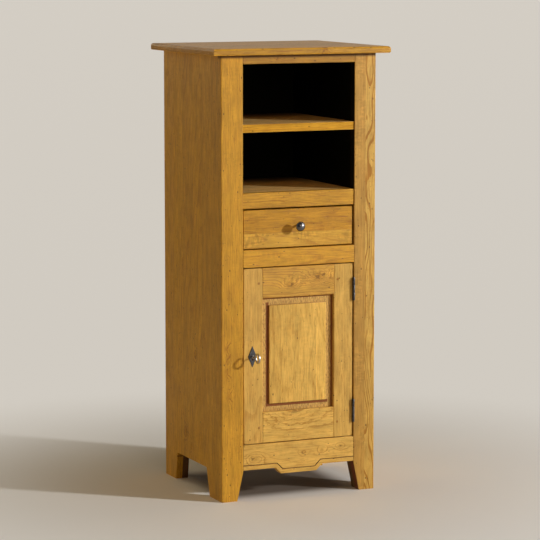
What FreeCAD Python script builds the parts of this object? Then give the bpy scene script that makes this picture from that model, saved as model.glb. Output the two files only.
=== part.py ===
# Rustic oak highboard: two open niches, one drawer and a cupboard with a raised-panel door.
# Units are millimetres. X runs to the right, Y from the front to the back, and Z up.
# The origin is on the floor, under the centre of the part's overall box.
# Depths are measured back from the front faces of the two front stiles.
import FreeCAD
import Part
import math
import os

# Overall body and top
overall_height = 1360.0
body_width = 506.0
body_depth = 462.0
top_thickness = 20.0
top_side_overhang = 35.0
top_front_overhang = 31.0
top_rear_overhang = 20.0
top_upper_round = 8.0
top_lower_round = 4.0

# Boards of the carcass
stile_width = 70.0
stile_thickness = 25.0
stile_round = 2.5
side_thickness = 20.0
lining_thickness = 12.0
back_thickness = 8.0
floor_thickness = 18.0
deck_thickness = 15.0
edge_round = 1.5

# Heights, from the floor up; the upper niche takes what is left below the top rail
apron_clearance = 92.0
apron_height = 77.5
door_opening_height = 537.5
drawer_rail_height = 52.5
drawer_opening_height = 123.5
niche_floor_rail_height = 47.0
lower_niche_height = 180.0
niche_shelf_thickness = 24.0
top_rail_height = 27.0

# Set-back of pieces behind the stile faces
niche_floor_rail_recess = 3.5
niche_shelf_recess = 4.0
drawer_recess = 6.0
door_recess = 2.5

# Feet
foot_taper = 20.0
side_cut_height = 86.0
front_foot_floor_depth = 97.0
front_foot_top_depth = 122.0
rear_foot_floor_depth = 86.0
rear_foot_top_depth = 100.0
front_block_depth = 26.0
rear_block_thickness = 20.0

# Stepped apron with a groove along its lower edge
apron_drop = 19.0
apron_centre_width = 118.0
apron_groove_lift = 13.0
apron_groove_width = 3.0
apron_groove_depth = 2.5
apron_lower_round = 3.0

# Joints of the carcass
tenon_length = 30.0
tenon_thickness = 9.0
tenon_shoulder = 4.0
mortise_spare = 1.0
tongue_length = 6.0
tongue_thickness = 8.0
housing_depth = 6.0
shelf_housing_depth = 5.0
rebate_width = 14.0
top_groove_depth = 7.0
top_groove_stop = 30.0
fit_clearance = 0.05

# Cupboard inside
cupboard_shelf_thickness = 18.0
cupboard_shelf_height = 250.0
cupboard_shelf_setback = 60.0
cupboard_shelf_gap = 1.0
batten_width = 18.0
batten_height = 24.0
batten_setback = 12.0
batten_chamfer = 8.0
door_stop_width = 300.0
door_stop_thickness = 15.0
door_stop_lap = 11.0

# Drawer
drawer_side_gap = 3.5
drawer_top_gap = 5.0
drawer_bottom_gap = 3.5
drawer_front_thickness = 20.0
drawer_side_thickness = 12.0
drawer_side_height = 103.0
drawer_length = 400.0
drawer_back_thickness = 12.0
drawer_back_drop = 6.0
drawer_back_setback = 8.0
drawer_back_housing = 4.0
drawer_bottom_thickness = 6.0
drawer_bottom_lift = 8.0
drawer_bottom_groove = 5.0
drawer_run_clearance = 0.3
tail_count = 3
tail_width = 20.0
tail_splay = 2.2
drawer_front_lap = 7.0
guide_height = 30.0
guide_clearance = 0.8
kicker_width = 30.0
kicker_clearance = 1.5
kicker_setback = 10.0
drawer_stop_width = 30.0
drawer_stop_depth = 12.0
drawer_stop_height = 7.0
drawer_stop_spacing = 200.0

# Drawer knob
knob_head_radius = 15.0
knob_neck_radius = 3.0
knob_neck_height = 17.0
knob_rim_height = 27.0
knob_rim_width = 1.0
knob_projection = 38.0
knob_stud_radius = 2.0
knob_stud_length = 14.0
knob_lift = 6.0
knob_aside = -5.0

# Door
door_lock_gap = 2.5
door_hinge_gap = 4.0
door_top_gap = 3.5
door_bottom_gap = 2.5
door_thickness = 22.0
door_stile_width = 62.5
door_top_rail_height = 91.5
door_bottom_rail_height = 93.5
door_inner_round = 2.5
door_tenon_length = 40.0
door_tenon_thickness = 7.0
door_tenon_setback = 4.0
door_tenon_shoulder = 14.0
panel_groove_depth = 9.0
panel_slack = 1.0
panel_border_width = 23.5
panel_border_sink = 12.5
panel_border_thickness = 6.5
panel_field_raise = 6.5
panel_field_round = 1.5
peg_radius = 4.0
peg_inset = 13.0
peg_proud = 0.3

# Butt hinges
hinge_length = 70.0
hinge_end_distance = 43.0
hinge_axis_proud = 3.5
hinge_knuckle_radius = 3.6
hinge_knuckle_count = 3
hinge_knuckle_gap = 0.3
hinge_pin_radius = 2.0
hinge_leaf_thickness = 2.0
hinge_leaf_sink = 0.8
hinge_leaf_reach = 20.0
hinge_leaf_relief = 0.5

# Lock, key and escutcheon
lock_backset = 28.0
lock_case_edge_gap = 3.0
lock_case_right = 30.0
lock_case_above = 26.0
lock_case_below = 15.0
lock_case_depth = 14.0
lock_case_wall = 1.5
lock_flange_thickness = 2.0
lock_flange_reach = 10.0
bolt_setback = 3.0
bolt_thickness = 6.0
bolt_height = 9.0
bolt_lift = 13.0
bolt_tail = 27.0
bolt_end_proud = 0.5
bolt_clearance = 0.25
bolt_travel = 12.0
bolt_lug_width = 6.0
bolt_lug_length = 6.5
bolt_lug_gap = 0.5
key_ring_outer_radius = 15.5
key_ring_thickness = 4.4
key_ring_projection = 40.0
key_stem_radius = 2.5
key_tip_radius = 2.0
key_tip_reach = 1.0
key_bit_reach = 11.0
key_bit_width = 3.0
key_bit_clearance = 0.5
key_collar_radius = 4.2
key_collar_length = 3.0
key_collar_gap = 1.0
keyhole_clearance = 0.7
keyhole_slot_clearance = 1.0
escutcheon_width = 28.0
escutcheon_height = 65.0
escutcheon_thickness = 2.0
escutcheon_bevel = 0.8
strike_width = 22.0
strike_height = 50.0
strike_thickness = 2.0
strike_edge_gap = 2.0

# Levels and half-widths that the pieces share
carcass_height = overall_height - top_thickness
half_body = body_width / 2.0
half_opening = half_body - stile_width
half_inside = half_body - side_thickness
back_face = body_depth - back_thickness
apron_top = apron_clearance + apron_height
drawer_rail_bottom = apron_top + door_opening_height
drawer_rail_top = drawer_rail_bottom + drawer_rail_height
niche_rail_bottom = drawer_rail_top + drawer_opening_height
niche_floor_top = niche_rail_bottom + niche_floor_rail_height
shelf_bottom = niche_floor_top + lower_niche_height
shelf_top = shelf_bottom + niche_shelf_thickness
top_rail_bottom = carcass_height - top_rail_height
cupboard_floor_bottom = apron_top - floor_thickness
niche_floor_bottom = niche_floor_top - floor_thickness
deck_bottom = drawer_rail_top - deck_thickness
cupboard_shelf_bottom = apron_top + cupboard_shelf_height

# Door places
door_left = -half_opening + door_lock_gap
door_right = half_opening - door_hinge_gap
door_bottom = apron_top + door_bottom_gap
door_top = drawer_rail_bottom - door_top_gap
door_back = door_recess + door_thickness
panel_left = door_left + door_stile_width
panel_right = door_right - door_stile_width
panel_bottom = door_bottom + door_bottom_rail_height
panel_top = door_top - door_top_rail_height
hinge_x = half_opening - door_hinge_gap / 2.0
lower_hinge_bottom = door_bottom + hinge_end_distance
upper_hinge_bottom = door_top - hinge_end_distance - hinge_length

# Lock places
lock_x = door_left + lock_backset
lock_z = (door_bottom + door_top) / 2.0
case_left = door_left + lock_case_edge_gap
case_right = lock_x + lock_case_right
case_bottom = lock_z - lock_case_below
case_top = lock_z + lock_case_above
case_back = door_back + lock_case_depth
bolt_front = door_back + bolt_setback
bolt_back = bolt_front + bolt_thickness
bolt_bottom = lock_z + bolt_lift
bolt_top = bolt_bottom + bolt_height
escutcheon_front = door_recess - escutcheon_thickness
key_ring_depth = door_recess - key_ring_projection

# Drawer places
half_drawer = half_opening - drawer_side_gap
drawer_front_bottom = drawer_rail_top + drawer_bottom_gap
drawer_front_top = niche_rail_bottom - drawer_top_gap
drawer_front_back = drawer_recess + drawer_front_thickness
drawer_rear = drawer_recess + drawer_length
drawer_side_bottom = drawer_rail_top + drawer_run_clearance
drawer_side_top = drawer_side_bottom + drawer_side_height
drawer_bottom_under = drawer_side_bottom + drawer_bottom_lift
drawer_bottom_upper = drawer_bottom_under + drawer_bottom_thickness
drawer_back_front = drawer_rear - drawer_back_setback - drawer_back_thickness
knob_z = (drawer_front_bottom + drawer_front_top) / 2.0 + knob_lift

# The front face of the stiles, placed so that the overall box is centred on the origin
key_reach = key_ring_projection + key_ring_outer_radius - door_recess
knob_reach = knob_projection - drawer_recess
front_reach = max(top_front_overhang, key_reach, knob_reach)
front_y = (front_reach - body_depth - top_rear_overhang) / 2.0

RIGHT = FreeCAD.Vector(1, 0, 0)
LEFT = FreeCAD.Vector(-1, 0, 0)
BACK = FreeCAD.Vector(0, 1, 0)
FRONT = FreeCAD.Vector(0, -1, 0)
UP = FreeCAD.Vector(0, 0, 1)
SAME_PLACE = 0.001


def place(x, depth, z):
    """A point at x and z, at a depth behind the front faces of the stiles."""
    return FreeCAD.Vector(x, front_y + depth, z)


def board(x0, x1, depth0, depth1, z0, z1):
    """A square-edged board between two corners."""
    return Part.makeBox(x1 - x0, depth1 - depth0, z1 - z0, place(x0, depth0, z0))


def rod(x, depth, z, along, radius, length):
    """A round rod from a point along a direction."""
    return Part.makeCylinder(radius, length, place(x, depth, z), along)


def prism(points, along):
    """A solid from a closed outline of points, pushed along a vector."""
    return Part.Face(Part.makePolygon(points + points[:1])).extrude(along)


def front_outline(points, depth0, depth1):
    """A solid whose outline is given in the front view, as x and z."""
    corners = [place(x, depth0, z) for x, z in points]
    return prism(corners, BACK * (depth1 - depth0))


def side_outline(points, x0, x1):
    """A solid whose outline is given in the side view, as depth and z."""
    corners = [place(x0, depth, z) for depth, z in points]
    return prism(corners, RIGHT * (x1 - x0))


def mirrored(shape):
    """The same piece for the other side of the cupboard."""
    return shape.mirror(FreeCAD.Vector(0, 0, 0), RIGHT)


def joined(*shapes):
    """Shapes of one piece fused together, with no seams left between them."""
    return shapes[0].multiFuse(list(shapes[1:])).removeSplitter()


def edges_on(shape, x=None, depth=None, z=None):
    """The edges that lie wholly in the planes that are given."""
    y = None if depth is None else front_y + depth
    picked = []
    for edge in shape.Edges:
        box = edge.BoundBox
        spans = ((x, box.XMin, box.XMax), (y, box.YMin, box.YMax), (z, box.ZMin, box.ZMax))
        if all(at is None or max(abs(low - at), abs(high - at)) < SAME_PLACE for at, low, high in spans):
            picked.append(edge)
    return picked


def spread(first, last, count):
    """Evenly spaced places from first to last."""
    return [first + (last - first) * i / (count - 1) for i in range(count)]


def save(name, *solids):
    """Write one piece, or one group of identical pieces, as a node."""
    shape = solids[0] if len(solids) == 1 else Part.makeCompound(solids)
    shape.exportStep("parts/" + name + ".step")


# Top


def top_tongue():
    """The tongue along the left side panel's upper edge, which enters the top."""
    shoulder = (side_thickness - tongue_thickness) / 2.0
    return board(
        -half_body + shoulder, -half_body + shoulder + tongue_thickness,
        stile_thickness + top_groove_stop, back_face - top_groove_stop,
        carcass_height, carcass_height + top_groove_depth)


def top_board():
    """The overhanging top, rounded over along its front and sides."""
    half = half_body + top_side_overhang
    front = -top_front_overhang
    rear = body_depth + top_rear_overhang
    slab = board(-half, half, front, rear, carcass_height, overall_height)
    for level, radius in ((overall_height, top_upper_round), (carcass_height, top_lower_round)):
        rim = edges_on(slab, depth=front, z=level)
        for x in (-half, half):
            rim = rim + edges_on(slab, x=x, z=level)
        slab = slab.makeFillet(radius, rim)
    return slab.cut([top_tongue(), mirrored(top_tongue())])


# Side panels, stiles and back


def side_tongue():
    """The tongue along the left side panel's front edge, which enters the stile."""
    shoulder = (side_thickness - tongue_thickness) / 2.0
    return board(
        -half_body + shoulder, -half_body + shoulder + tongue_thickness,
        stile_thickness - tongue_length, stile_thickness, side_cut_height, carcass_height)


def left_side_panel():
    """A glued-up side whose lower edge is cut away between a front and a rear foot."""
    outline = [
        (stile_thickness, 0.0),
        (front_foot_floor_depth, 0.0),
        (front_foot_top_depth, side_cut_height),
        (body_depth - rear_foot_top_depth, side_cut_height),
        (body_depth - rear_foot_floor_depth, 0.0),
        (body_depth, 0.0),
        (body_depth, carcass_height),
        (stile_thickness, carcass_height),
    ]
    panel = joined(side_outline(outline, -half_body, -half_inside), side_tongue(), top_tongue())
    return panel.cut([cupboard_floor(), drawer_deck(), niche_floor(), back_panel()])


def carcass_tenon(side, z0, z1, spare=0.0):
    """A rail's tenon on the left (-1) or right (1), or with spare length the mortise for it."""
    near = half_opening
    far = half_opening + tenon_length + spare
    setback = (stile_thickness - tenon_thickness) / 2.0
    x0, x1 = sorted((side * near, side * far))
    return board(x0, x1, setback, setback + tenon_thickness, z0 + tenon_shoulder, z1 - tenon_shoulder)


def rail_levels():
    """Lower and upper edges of every piece that is tenoned into the stiles."""
    return [
        (apron_clearance, apron_top),
        (drawer_rail_bottom, drawer_rail_top),
        (niche_rail_bottom, niche_floor_top),
        (top_rail_bottom, carcass_height),
    ]


def left_front_stile():
    """The left front stile with its tapered foot, its mortises and the groove for the side panel."""
    outline = [
        (-half_body, 0.0),
        (-half_opening - foot_taper, 0.0),
        (-half_opening, apron_clearance),
        (-half_opening, carcass_height),
        (-half_body, carcass_height),
    ]
    stile = front_outline(outline, 0.0, stile_thickness)
    stile = stile.makeFillet(stile_round, edges_on(stile, x=-half_body, depth=0.0))
    stile = stile.makeFillet(edge_round, edges_on(stile, x=-half_opening, depth=0.0))
    mortises = [carcass_tenon(-1, z0, z1, mortise_spare) for z0, z1 in rail_levels()]
    return stile.cut(mortises + [side_tongue()])


def right_front_stile():
    """The mirrored stile, with shallow seats for the hinge leaves."""
    cuts = []
    for bottom in (lower_hinge_bottom, upper_hinge_bottom):
        cuts.append(board(
            half_opening, half_opening + hinge_leaf_sink, 0.0, hinge_leaf_reach,
            bottom, bottom + hinge_length))
    return mirrored(left_front_stile()).cut(cuts)


def left_front_foot_block():
    """A block behind the stile's foot, tapered with it, that reaches up to the cupboard floor."""
    outline = [
        (-half_inside, 0.0),
        (-half_opening - foot_taper, 0.0),
        (-half_opening, apron_clearance),
        (-half_opening, cupboard_floor_bottom),
        (-half_inside, cupboard_floor_bottom),
    ]
    return front_outline(outline, stile_thickness, stile_thickness + front_block_depth)


def left_rear_foot_block():
    """A block that doubles the side panel's rear foot, up to the cupboard floor."""
    outline = [
        (body_depth - rear_foot_floor_depth, 0.0),
        (body_depth, 0.0),
        (body_depth, cupboard_floor_bottom),
        (body_depth - rear_foot_top_depth, cupboard_floor_bottom),
        (body_depth - rear_foot_top_depth, side_cut_height),
    ]
    return side_outline(outline, -half_inside, -half_inside + rear_block_thickness)


def back_panel():
    """The thin back, let into the side panels' rebates."""
    half = half_inside + rebate_width
    return board(-half, half, back_face, body_depth, cupboard_floor_bottom, carcass_height)


# Rails and boards between the stiles


def rail(z0, z1, recess):
    """A cross rail tenoned into both stiles, with eased front edges."""
    bar = board(-half_opening, half_opening, recess, stile_thickness, z0, z1)
    for level in (z0, z1):
        bar = bar.makeFillet(edge_round, edges_on(bar, depth=recess, z=level))
    return joined(bar, carcass_tenon(-1, z0, z1), carcass_tenon(1, z0, z1))


def apron_edge(lift):
    """Points along the apron's stepped lower edge, moved up square to that edge by lift."""
    turn = lift * (math.sqrt(2.0) - 1.0)
    inner = apron_centre_width / 2.0 - turn
    outer = inner + apron_drop
    end_z = apron_clearance + lift
    low_z = end_z - apron_drop
    return [
        (-half_opening, end_z), (-outer, end_z), (-inner, low_z),
        (inner, low_z), (outer, end_z), (half_opening, end_z),
    ]


def apron():
    """The stepped apron with a groove that follows its lower edge."""
    outline = apron_edge(0.0) + [(half_opening, apron_top), (-half_opening, apron_top)]
    plate = front_outline(outline, 0.0, stile_thickness)
    lower = [edge for edge in edges_on(plate, depth=0.0) if edge.BoundBox.ZMax < apron_clearance + SAME_PLACE]
    plate = plate.makeFillet(apron_lower_round, lower)
    plate = plate.makeFillet(edge_round, edges_on(plate, depth=0.0, z=apron_top))
    groove_upper = apron_edge(apron_groove_lift + apron_groove_width)
    groove = front_outline(apron_edge(apron_groove_lift) + groove_upper[::-1], 0.0, apron_groove_depth)
    tenons = [carcass_tenon(side, apron_clearance, apron_top) for side in (-1, 1)]
    return joined(plate.cut(groove), *tenons)


def housed_board(z0, z1):
    """A board across the inside, housed in both side panels, from the stiles to the back panel."""
    half = half_inside + housing_depth
    return board(-half, half, stile_thickness, back_face, z0, z1)


def cupboard_floor():
    return housed_board(cupboard_floor_bottom, apron_top)


def drawer_deck():
    return housed_board(deck_bottom, drawer_rail_top)


def niche_floor():
    return housed_board(niche_floor_bottom, niche_floor_top)


def niche_shelf():
    """The shelf between the niches, notched round the stiles and housed in the linings."""
    nose = board(-half_opening, half_opening, niche_shelf_recess, stile_thickness, shelf_bottom, shelf_top)
    for level in (shelf_bottom, shelf_top):
        nose = nose.makeFillet(edge_round, edges_on(nose, depth=niche_shelf_recess, z=level))
    half = half_opening + shelf_housing_depth
    return joined(nose, board(-half, half, stile_thickness, back_face, shelf_bottom, shelf_top))


def left_niche_lining():
    lining = board(
        -half_opening - lining_thickness, -half_opening, stile_thickness, back_face,
        niche_floor_top, carcass_height)
    return lining.cut(niche_shelf())


def cupboard_shelf():
    half = half_inside - cupboard_shelf_gap
    top = cupboard_shelf_bottom + cupboard_shelf_thickness
    shelf = board(
        -half, half, cupboard_shelf_setback, back_face - cupboard_shelf_gap, cupboard_shelf_bottom, top)
    return shelf.makeFillet(edge_round, edges_on(shelf, depth=cupboard_shelf_setback, z=top))


def left_shelf_batten():
    """A batten on the side panel that the cupboard shelf lies on, with its lower edge bevelled."""
    near = cupboard_shelf_setback + batten_setback
    batten = board(
        -half_inside, -half_inside + batten_width, near, back_face,
        cupboard_shelf_bottom - batten_height, cupboard_shelf_bottom)
    lower_edge = edges_on(batten, x=-half_inside + batten_width, z=cupboard_shelf_bottom - batten_height)
    return batten.makeChamfer(batten_chamfer, lower_edge)


def door_stop():
    """The strip behind the drawer rail that the closed door meets."""
    half = door_stop_width / 2.0
    return board(
        -half, half, stile_thickness, stile_thickness + door_stop_thickness,
        door_top - door_stop_lap, deck_bottom)


# Drawer and what it runs on


def left_drawer_guide():
    return board(
        -half_inside, -half_drawer - guide_clearance, stile_thickness, back_face,
        drawer_rail_top, drawer_rail_top + guide_height)


def left_drawer_kicker():
    inner = -half_drawer + drawer_side_thickness
    return board(
        inner - kicker_width, inner, drawer_front_back + kicker_setback, back_face,
        drawer_side_top + kicker_clearance, niche_floor_bottom)


def left_drawer_stop():
    middle = -drawer_stop_spacing / 2.0
    near = drawer_front_back + drawer_run_clearance
    return board(
        middle - drawer_stop_width / 2.0, middle + drawer_stop_width / 2.0, near, near + drawer_stop_depth,
        drawer_rail_top, drawer_rail_top + drawer_stop_height)


def left_tails():
    """The dovetails on the front end of the left drawer side."""
    half_pitch = (drawer_side_top - drawer_front_bottom) / tail_count / 2.0
    narrow = tail_width / 2.0
    wide = narrow + tail_splay
    tip = drawer_recess + drawer_front_lap
    tails = []
    for middle in spread(drawer_front_bottom + half_pitch, drawer_side_top - half_pitch, tail_count):
        outline = [
            (drawer_front_back, middle - narrow), (tip, middle - wide),
            (tip, middle + wide), (drawer_front_back, middle + narrow),
        ]
        tails.append(side_outline(outline, -half_drawer, -half_drawer + drawer_side_thickness))
    return tails


def drawer_bottom():
    """The thin bottom, held in grooves of the front and the sides."""
    half = half_drawer - drawer_side_thickness + drawer_bottom_groove
    return board(
        -half, half, drawer_front_back - drawer_bottom_groove, drawer_rear,
        drawer_bottom_under, drawer_bottom_upper)


def drawer_back():
    """The back, housed in both sides, standing on the bottom."""
    half = half_drawer - drawer_side_thickness + drawer_back_housing
    return board(
        -half, half, drawer_back_front, drawer_back_front + drawer_back_thickness,
        drawer_bottom_upper, drawer_side_top - drawer_back_drop)


def drawer_left_side():
    plank = board(
        -half_drawer, -half_drawer + drawer_side_thickness, drawer_front_back, drawer_rear,
        drawer_side_bottom, drawer_side_top)
    return joined(plank, *left_tails()).cut([drawer_bottom(), drawer_back()])


def drawer_front():
    face = board(
        -half_drawer, half_drawer, drawer_recess, drawer_front_back, drawer_front_bottom, drawer_front_top)
    face = face.makeFillet(edge_round, edges_on(face, depth=drawer_recess))
    tails = left_tails()
    cuts = tails + [mirrored(tail) for tail in tails]
    stud_hole = rod(
        knob_aside, drawer_recess, knob_z, BACK, knob_stud_radius + fit_clearance, knob_stud_length + fit_clearance)
    return face.cut(cuts + [drawer_bottom(), stud_hole])


def drawer_knob():
    """A turned knob: a thin neck that flares in a cone to a domed head, with a stud into the wood."""
    def profile_point(radius, height):
        return place(knob_aside + radius, drawer_recess - height, knob_z)

    stud_end = profile_point(0.0, -knob_stud_length)
    stud_edge = profile_point(knob_stud_radius, -knob_stud_length)
    stud_root = profile_point(knob_stud_radius, 0.0)
    base = profile_point(knob_neck_radius, 0.0)
    neck = profile_point(knob_neck_radius, knob_neck_height)
    under_rim = profile_point(knob_head_radius, knob_rim_height)
    over_rim = profile_point(knob_head_radius, knob_rim_height + knob_rim_width)
    crown = profile_point(0.0, knob_projection)
    dome_height = knob_projection - knob_rim_height - knob_rim_width
    dome_radius = (knob_head_radius ** 2 + dome_height ** 2) / (2.0 * dome_height)
    half_turn = math.asin(knob_head_radius / dome_radius) / 2.0
    dome = profile_point(
        dome_radius * math.sin(half_turn), knob_projection - dome_radius * (1.0 - math.cos(half_turn)))
    outline = [crown, stud_end, stud_edge, stud_root, base, neck, under_rim, over_rim]
    edges = Part.makePolygon(outline).Edges
    edges.append(Part.Arc(over_rim, dome, crown).toShape())
    return Part.Face(Part.Wire(edges)).revolve(crown, BACK, 360.0)


# Door


def panel_tongue(slack=0.0):
    """The panel's edge that lies in the frame's grooves, or with no slack the grooves themselves."""
    reach = panel_groove_depth - slack
    border = door_recess + panel_border_sink
    return board(
        panel_left - reach, panel_right + reach, border, border + panel_border_thickness,
        panel_bottom - reach, panel_top + reach)


def door_panel():
    """A flat panel with a raised field."""
    border = door_recess + panel_border_sink
    field = board(
        panel_left + panel_border_width, panel_right - panel_border_width, border - panel_field_raise,
        border + panel_border_thickness, panel_bottom + panel_border_width, panel_top - panel_border_width)
    field = field.makeFillet(panel_field_round, edges_on(field, depth=border - panel_field_raise))
    return joined(panel_tongue(panel_slack), field)


def door_pegs(clearance=0.0):
    """The pegs through the stile and the tenon at the door's four joints, or the holes for them."""
    length = peg_proud + door_tenon_setback + door_tenon_thickness
    pegs = []
    for z in ((door_bottom + panel_bottom) / 2.0, (panel_top + door_top) / 2.0):
        for x in (panel_left - peg_inset, panel_right + peg_inset):
            pegs.append(rod(x, door_recess - peg_proud, z, BACK, peg_radius + clearance, length))
    return pegs


def door_tenon(side, z0, z1, spare=0.0):
    """A door rail's tenon on the left (-1) or right (1), or with spare length the mortise for it."""
    if side < 0:
        x0, x1 = panel_left - door_tenon_length - spare, panel_left
    else:
        x0, x1 = panel_right, panel_right + door_tenon_length + spare
    near = door_recess + door_tenon_setback
    far = near + door_tenon_thickness
    return board(x0, x1, near, far, z0 + door_tenon_shoulder, z1 - door_tenon_shoulder)


def door_rail_levels():
    """Lower and upper edges of the door's two rails."""
    return [(door_bottom, panel_bottom), (panel_top, door_top)]


def door_stile(side):
    """The lock stile (-1) or the hinge stile (1) of the door."""
    if side < 0:
        outer, inner = door_left, panel_left
    else:
        outer, inner = door_right, panel_right
    x0, x1 = sorted((outer, inner))
    plank = board(x0, x1, door_recess, door_back, door_bottom, door_top)
    plank = plank.makeFillet(edge_round, edges_on(plank, x=outer, depth=door_recess))
    plank = plank.makeFillet(door_inner_round, edges_on(plank, x=inner, depth=door_recess))
    cuts = [door_tenon(side, z0, z1, mortise_spare) for z0, z1 in door_rail_levels()]
    cuts.append(panel_tongue())
    cuts.extend(door_pegs(fit_clearance))
    return plank.cut(cuts)


def door_lock_stile():
    return door_stile(-1).cut(keyhole(door_recess, door_back))


def door_hinge_stile():
    cuts = []
    for bottom in (lower_hinge_bottom, upper_hinge_bottom):
        cuts.append(board(
            door_right - hinge_leaf_sink, door_right, door_recess, hinge_leaf_reach,
            bottom, bottom + hinge_length))
    return door_stile(1).cut(cuts)


def door_rail(z0, z1, inner_level):
    """A rail of the door, with a larger round on the edge next to the panel."""
    outer_level = z0 if inner_level == z1 else z1
    bar = board(panel_left, panel_right, door_recess, door_back, z0, z1)
    bar = bar.makeFillet(edge_round, edges_on(bar, depth=door_recess, z=outer_level))
    bar = bar.makeFillet(door_inner_round, edges_on(bar, depth=door_recess, z=inner_level))
    bar = joined(bar.cut(panel_tongue()), door_tenon(-1, z0, z1), door_tenon(1, z0, z1))
    return bar.cut(door_pegs(fit_clearance))


# Hinges


def hinge_leaf(side, bottom):
    """A hinge leaf on the stile (1) or on the door (-1), with its knuckles round the pin."""
    if side > 0:
        x0 = half_opening + hinge_leaf_sink - hinge_leaf_thickness
    else:
        x0 = door_right - hinge_leaf_sink
    x1 = x0 + hinge_leaf_thickness
    plate_front = hinge_knuckle_radius - hinge_axis_proud + hinge_leaf_relief
    pieces = [board(x0, x1, plate_front, hinge_leaf_reach, bottom, bottom + hinge_length)]
    pitch = hinge_length / hinge_knuckle_count
    first = 0 if side > 0 else 1
    for i in range(first, hinge_knuckle_count, 2):
        z0 = bottom + pitch * i + hinge_knuckle_gap / 2.0
        height = pitch - hinge_knuckle_gap
        pieces.append(rod(hinge_x, -hinge_axis_proud, z0, UP, hinge_knuckle_radius, height))
        pieces.append(board(x0, x1, -hinge_axis_proud, plate_front, z0, z0 + height))
    leaf = joined(*pieces)
    bore = rod(hinge_x, -hinge_axis_proud, bottom, UP, hinge_pin_radius + fit_clearance, hinge_length)
    return leaf.cut(bore)


def hinge_pin(bottom):
    """The pin through the knuckles, flush with their ends."""
    return rod(hinge_x, -hinge_axis_proud, bottom, UP, hinge_pin_radius, hinge_length)


# Lock, key and escutcheon


def keyhole(depth0, depth1):
    """The hole for the key: a round for its stem and a slot below for its bit."""
    radius = key_stem_radius + keyhole_clearance
    half_slot = key_bit_width / 2.0 + keyhole_clearance
    slot_bottom = lock_z - key_bit_reach - keyhole_slot_clearance
    return [
        rod(lock_x, depth0, lock_z, BACK, radius, depth1 - depth0),
        board(lock_x - half_slot, lock_x + half_slot, depth0, depth1, slot_bottom, lock_z),
    ]


def escutcheon():
    """A lozenge plate round the keyhole."""
    half_width = escutcheon_width / 2.0
    half_height = escutcheon_height / 2.0
    outline = [
        (lock_x - half_width, lock_z), (lock_x, lock_z - half_height),
        (lock_x + half_width, lock_z), (lock_x, lock_z + half_height),
    ]
    plate = front_outline(outline, escutcheon_front, door_recess)
    plate = plate.makeChamfer(escutcheon_bevel, edges_on(plate, depth=escutcheon_front))
    return plate.cut(keyhole(escutcheon_front, door_recess))


def lock_case():
    """A pressed case on the back of the lock stile, open towards the wood."""
    shell = board(case_left, case_right, door_back, case_back, case_bottom, case_top)
    flange = board(
        case_left, case_right, door_back, door_back + lock_flange_thickness,
        case_bottom - lock_flange_reach, case_top + lock_flange_reach)
    hollow = board(
        case_left + lock_case_wall, case_right - lock_case_wall, door_back, case_back - lock_case_wall,
        case_bottom + lock_case_wall, case_top - lock_case_wall)
    bolt_slot = board(
        case_left, case_left + lock_case_wall, bolt_front - bolt_clearance, bolt_back + bolt_clearance,
        bolt_bottom - bolt_clearance, bolt_top + bolt_clearance)
    tip_hole = rod(
        lock_x, case_back - lock_case_wall, lock_z, BACK, key_tip_radius + fit_clearance, lock_case_wall)
    return joined(shell, flange).cut([hollow, bolt_slot, tip_hole])


def lock_bolt():
    """The sliding bolt, with two lugs that hang down on either side of the turning key bit."""
    bar = board(case_left - bolt_end_proud, lock_x + bolt_tail, bolt_front, bolt_back, bolt_bottom, bolt_top)
    throw_lug_right = lock_x + bolt_travel - key_bit_width / 2.0 - bolt_lug_gap
    pieces = [bar]
    for right in (throw_lug_right, lock_x + bolt_tail):
        pieces.append(board(
            right - bolt_lug_width, right, bolt_front, bolt_back, bolt_bottom - bolt_lug_length, bolt_bottom))
    return joined(*pieces)


def key():
    """A key with a ring bow, in the lock with its bit down."""
    ring_left = lock_x - key_ring_thickness / 2.0
    ring = rod(ring_left, key_ring_depth, lock_z, RIGHT, key_ring_outer_radius, key_ring_thickness)
    ring_hole = rod(
        ring_left, key_ring_depth, lock_z, RIGHT,
        key_ring_outer_radius - key_ring_thickness, key_ring_thickness)
    stem_start = key_ring_depth + key_ring_outer_radius - key_ring_thickness / 2.0
    stem_end = case_back - lock_case_wall - key_bit_clearance
    tip_end = case_back + key_tip_reach
    stem = rod(lock_x, stem_start, lock_z, BACK, key_stem_radius, stem_end - stem_start)
    tip = rod(lock_x, stem_end, lock_z, BACK, key_tip_radius, tip_end - stem_end)
    collar_end = escutcheon_front - key_collar_gap
    collar = rod(lock_x, collar_end, lock_z, FRONT, key_collar_radius, key_collar_length)
    bit = board(
        lock_x - key_bit_width / 2.0, lock_x + key_bit_width / 2.0, bolt_front + key_bit_clearance,
        bolt_back - key_bit_clearance, lock_z - key_bit_reach, lock_z)
    return joined(ring.cut(ring_hole), stem, tip, collar, bit)


def strike_plate():
    """A plate on the back of the left stile, which the thrown bolt slides behind."""
    right = -half_opening - strike_edge_gap
    middle = (bolt_bottom + bolt_top) / 2.0
    return board(
        right - strike_width, right, stile_thickness, stile_thickness + strike_thickness,
        middle - strike_height / 2.0, middle + strike_height / 2.0)


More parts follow.
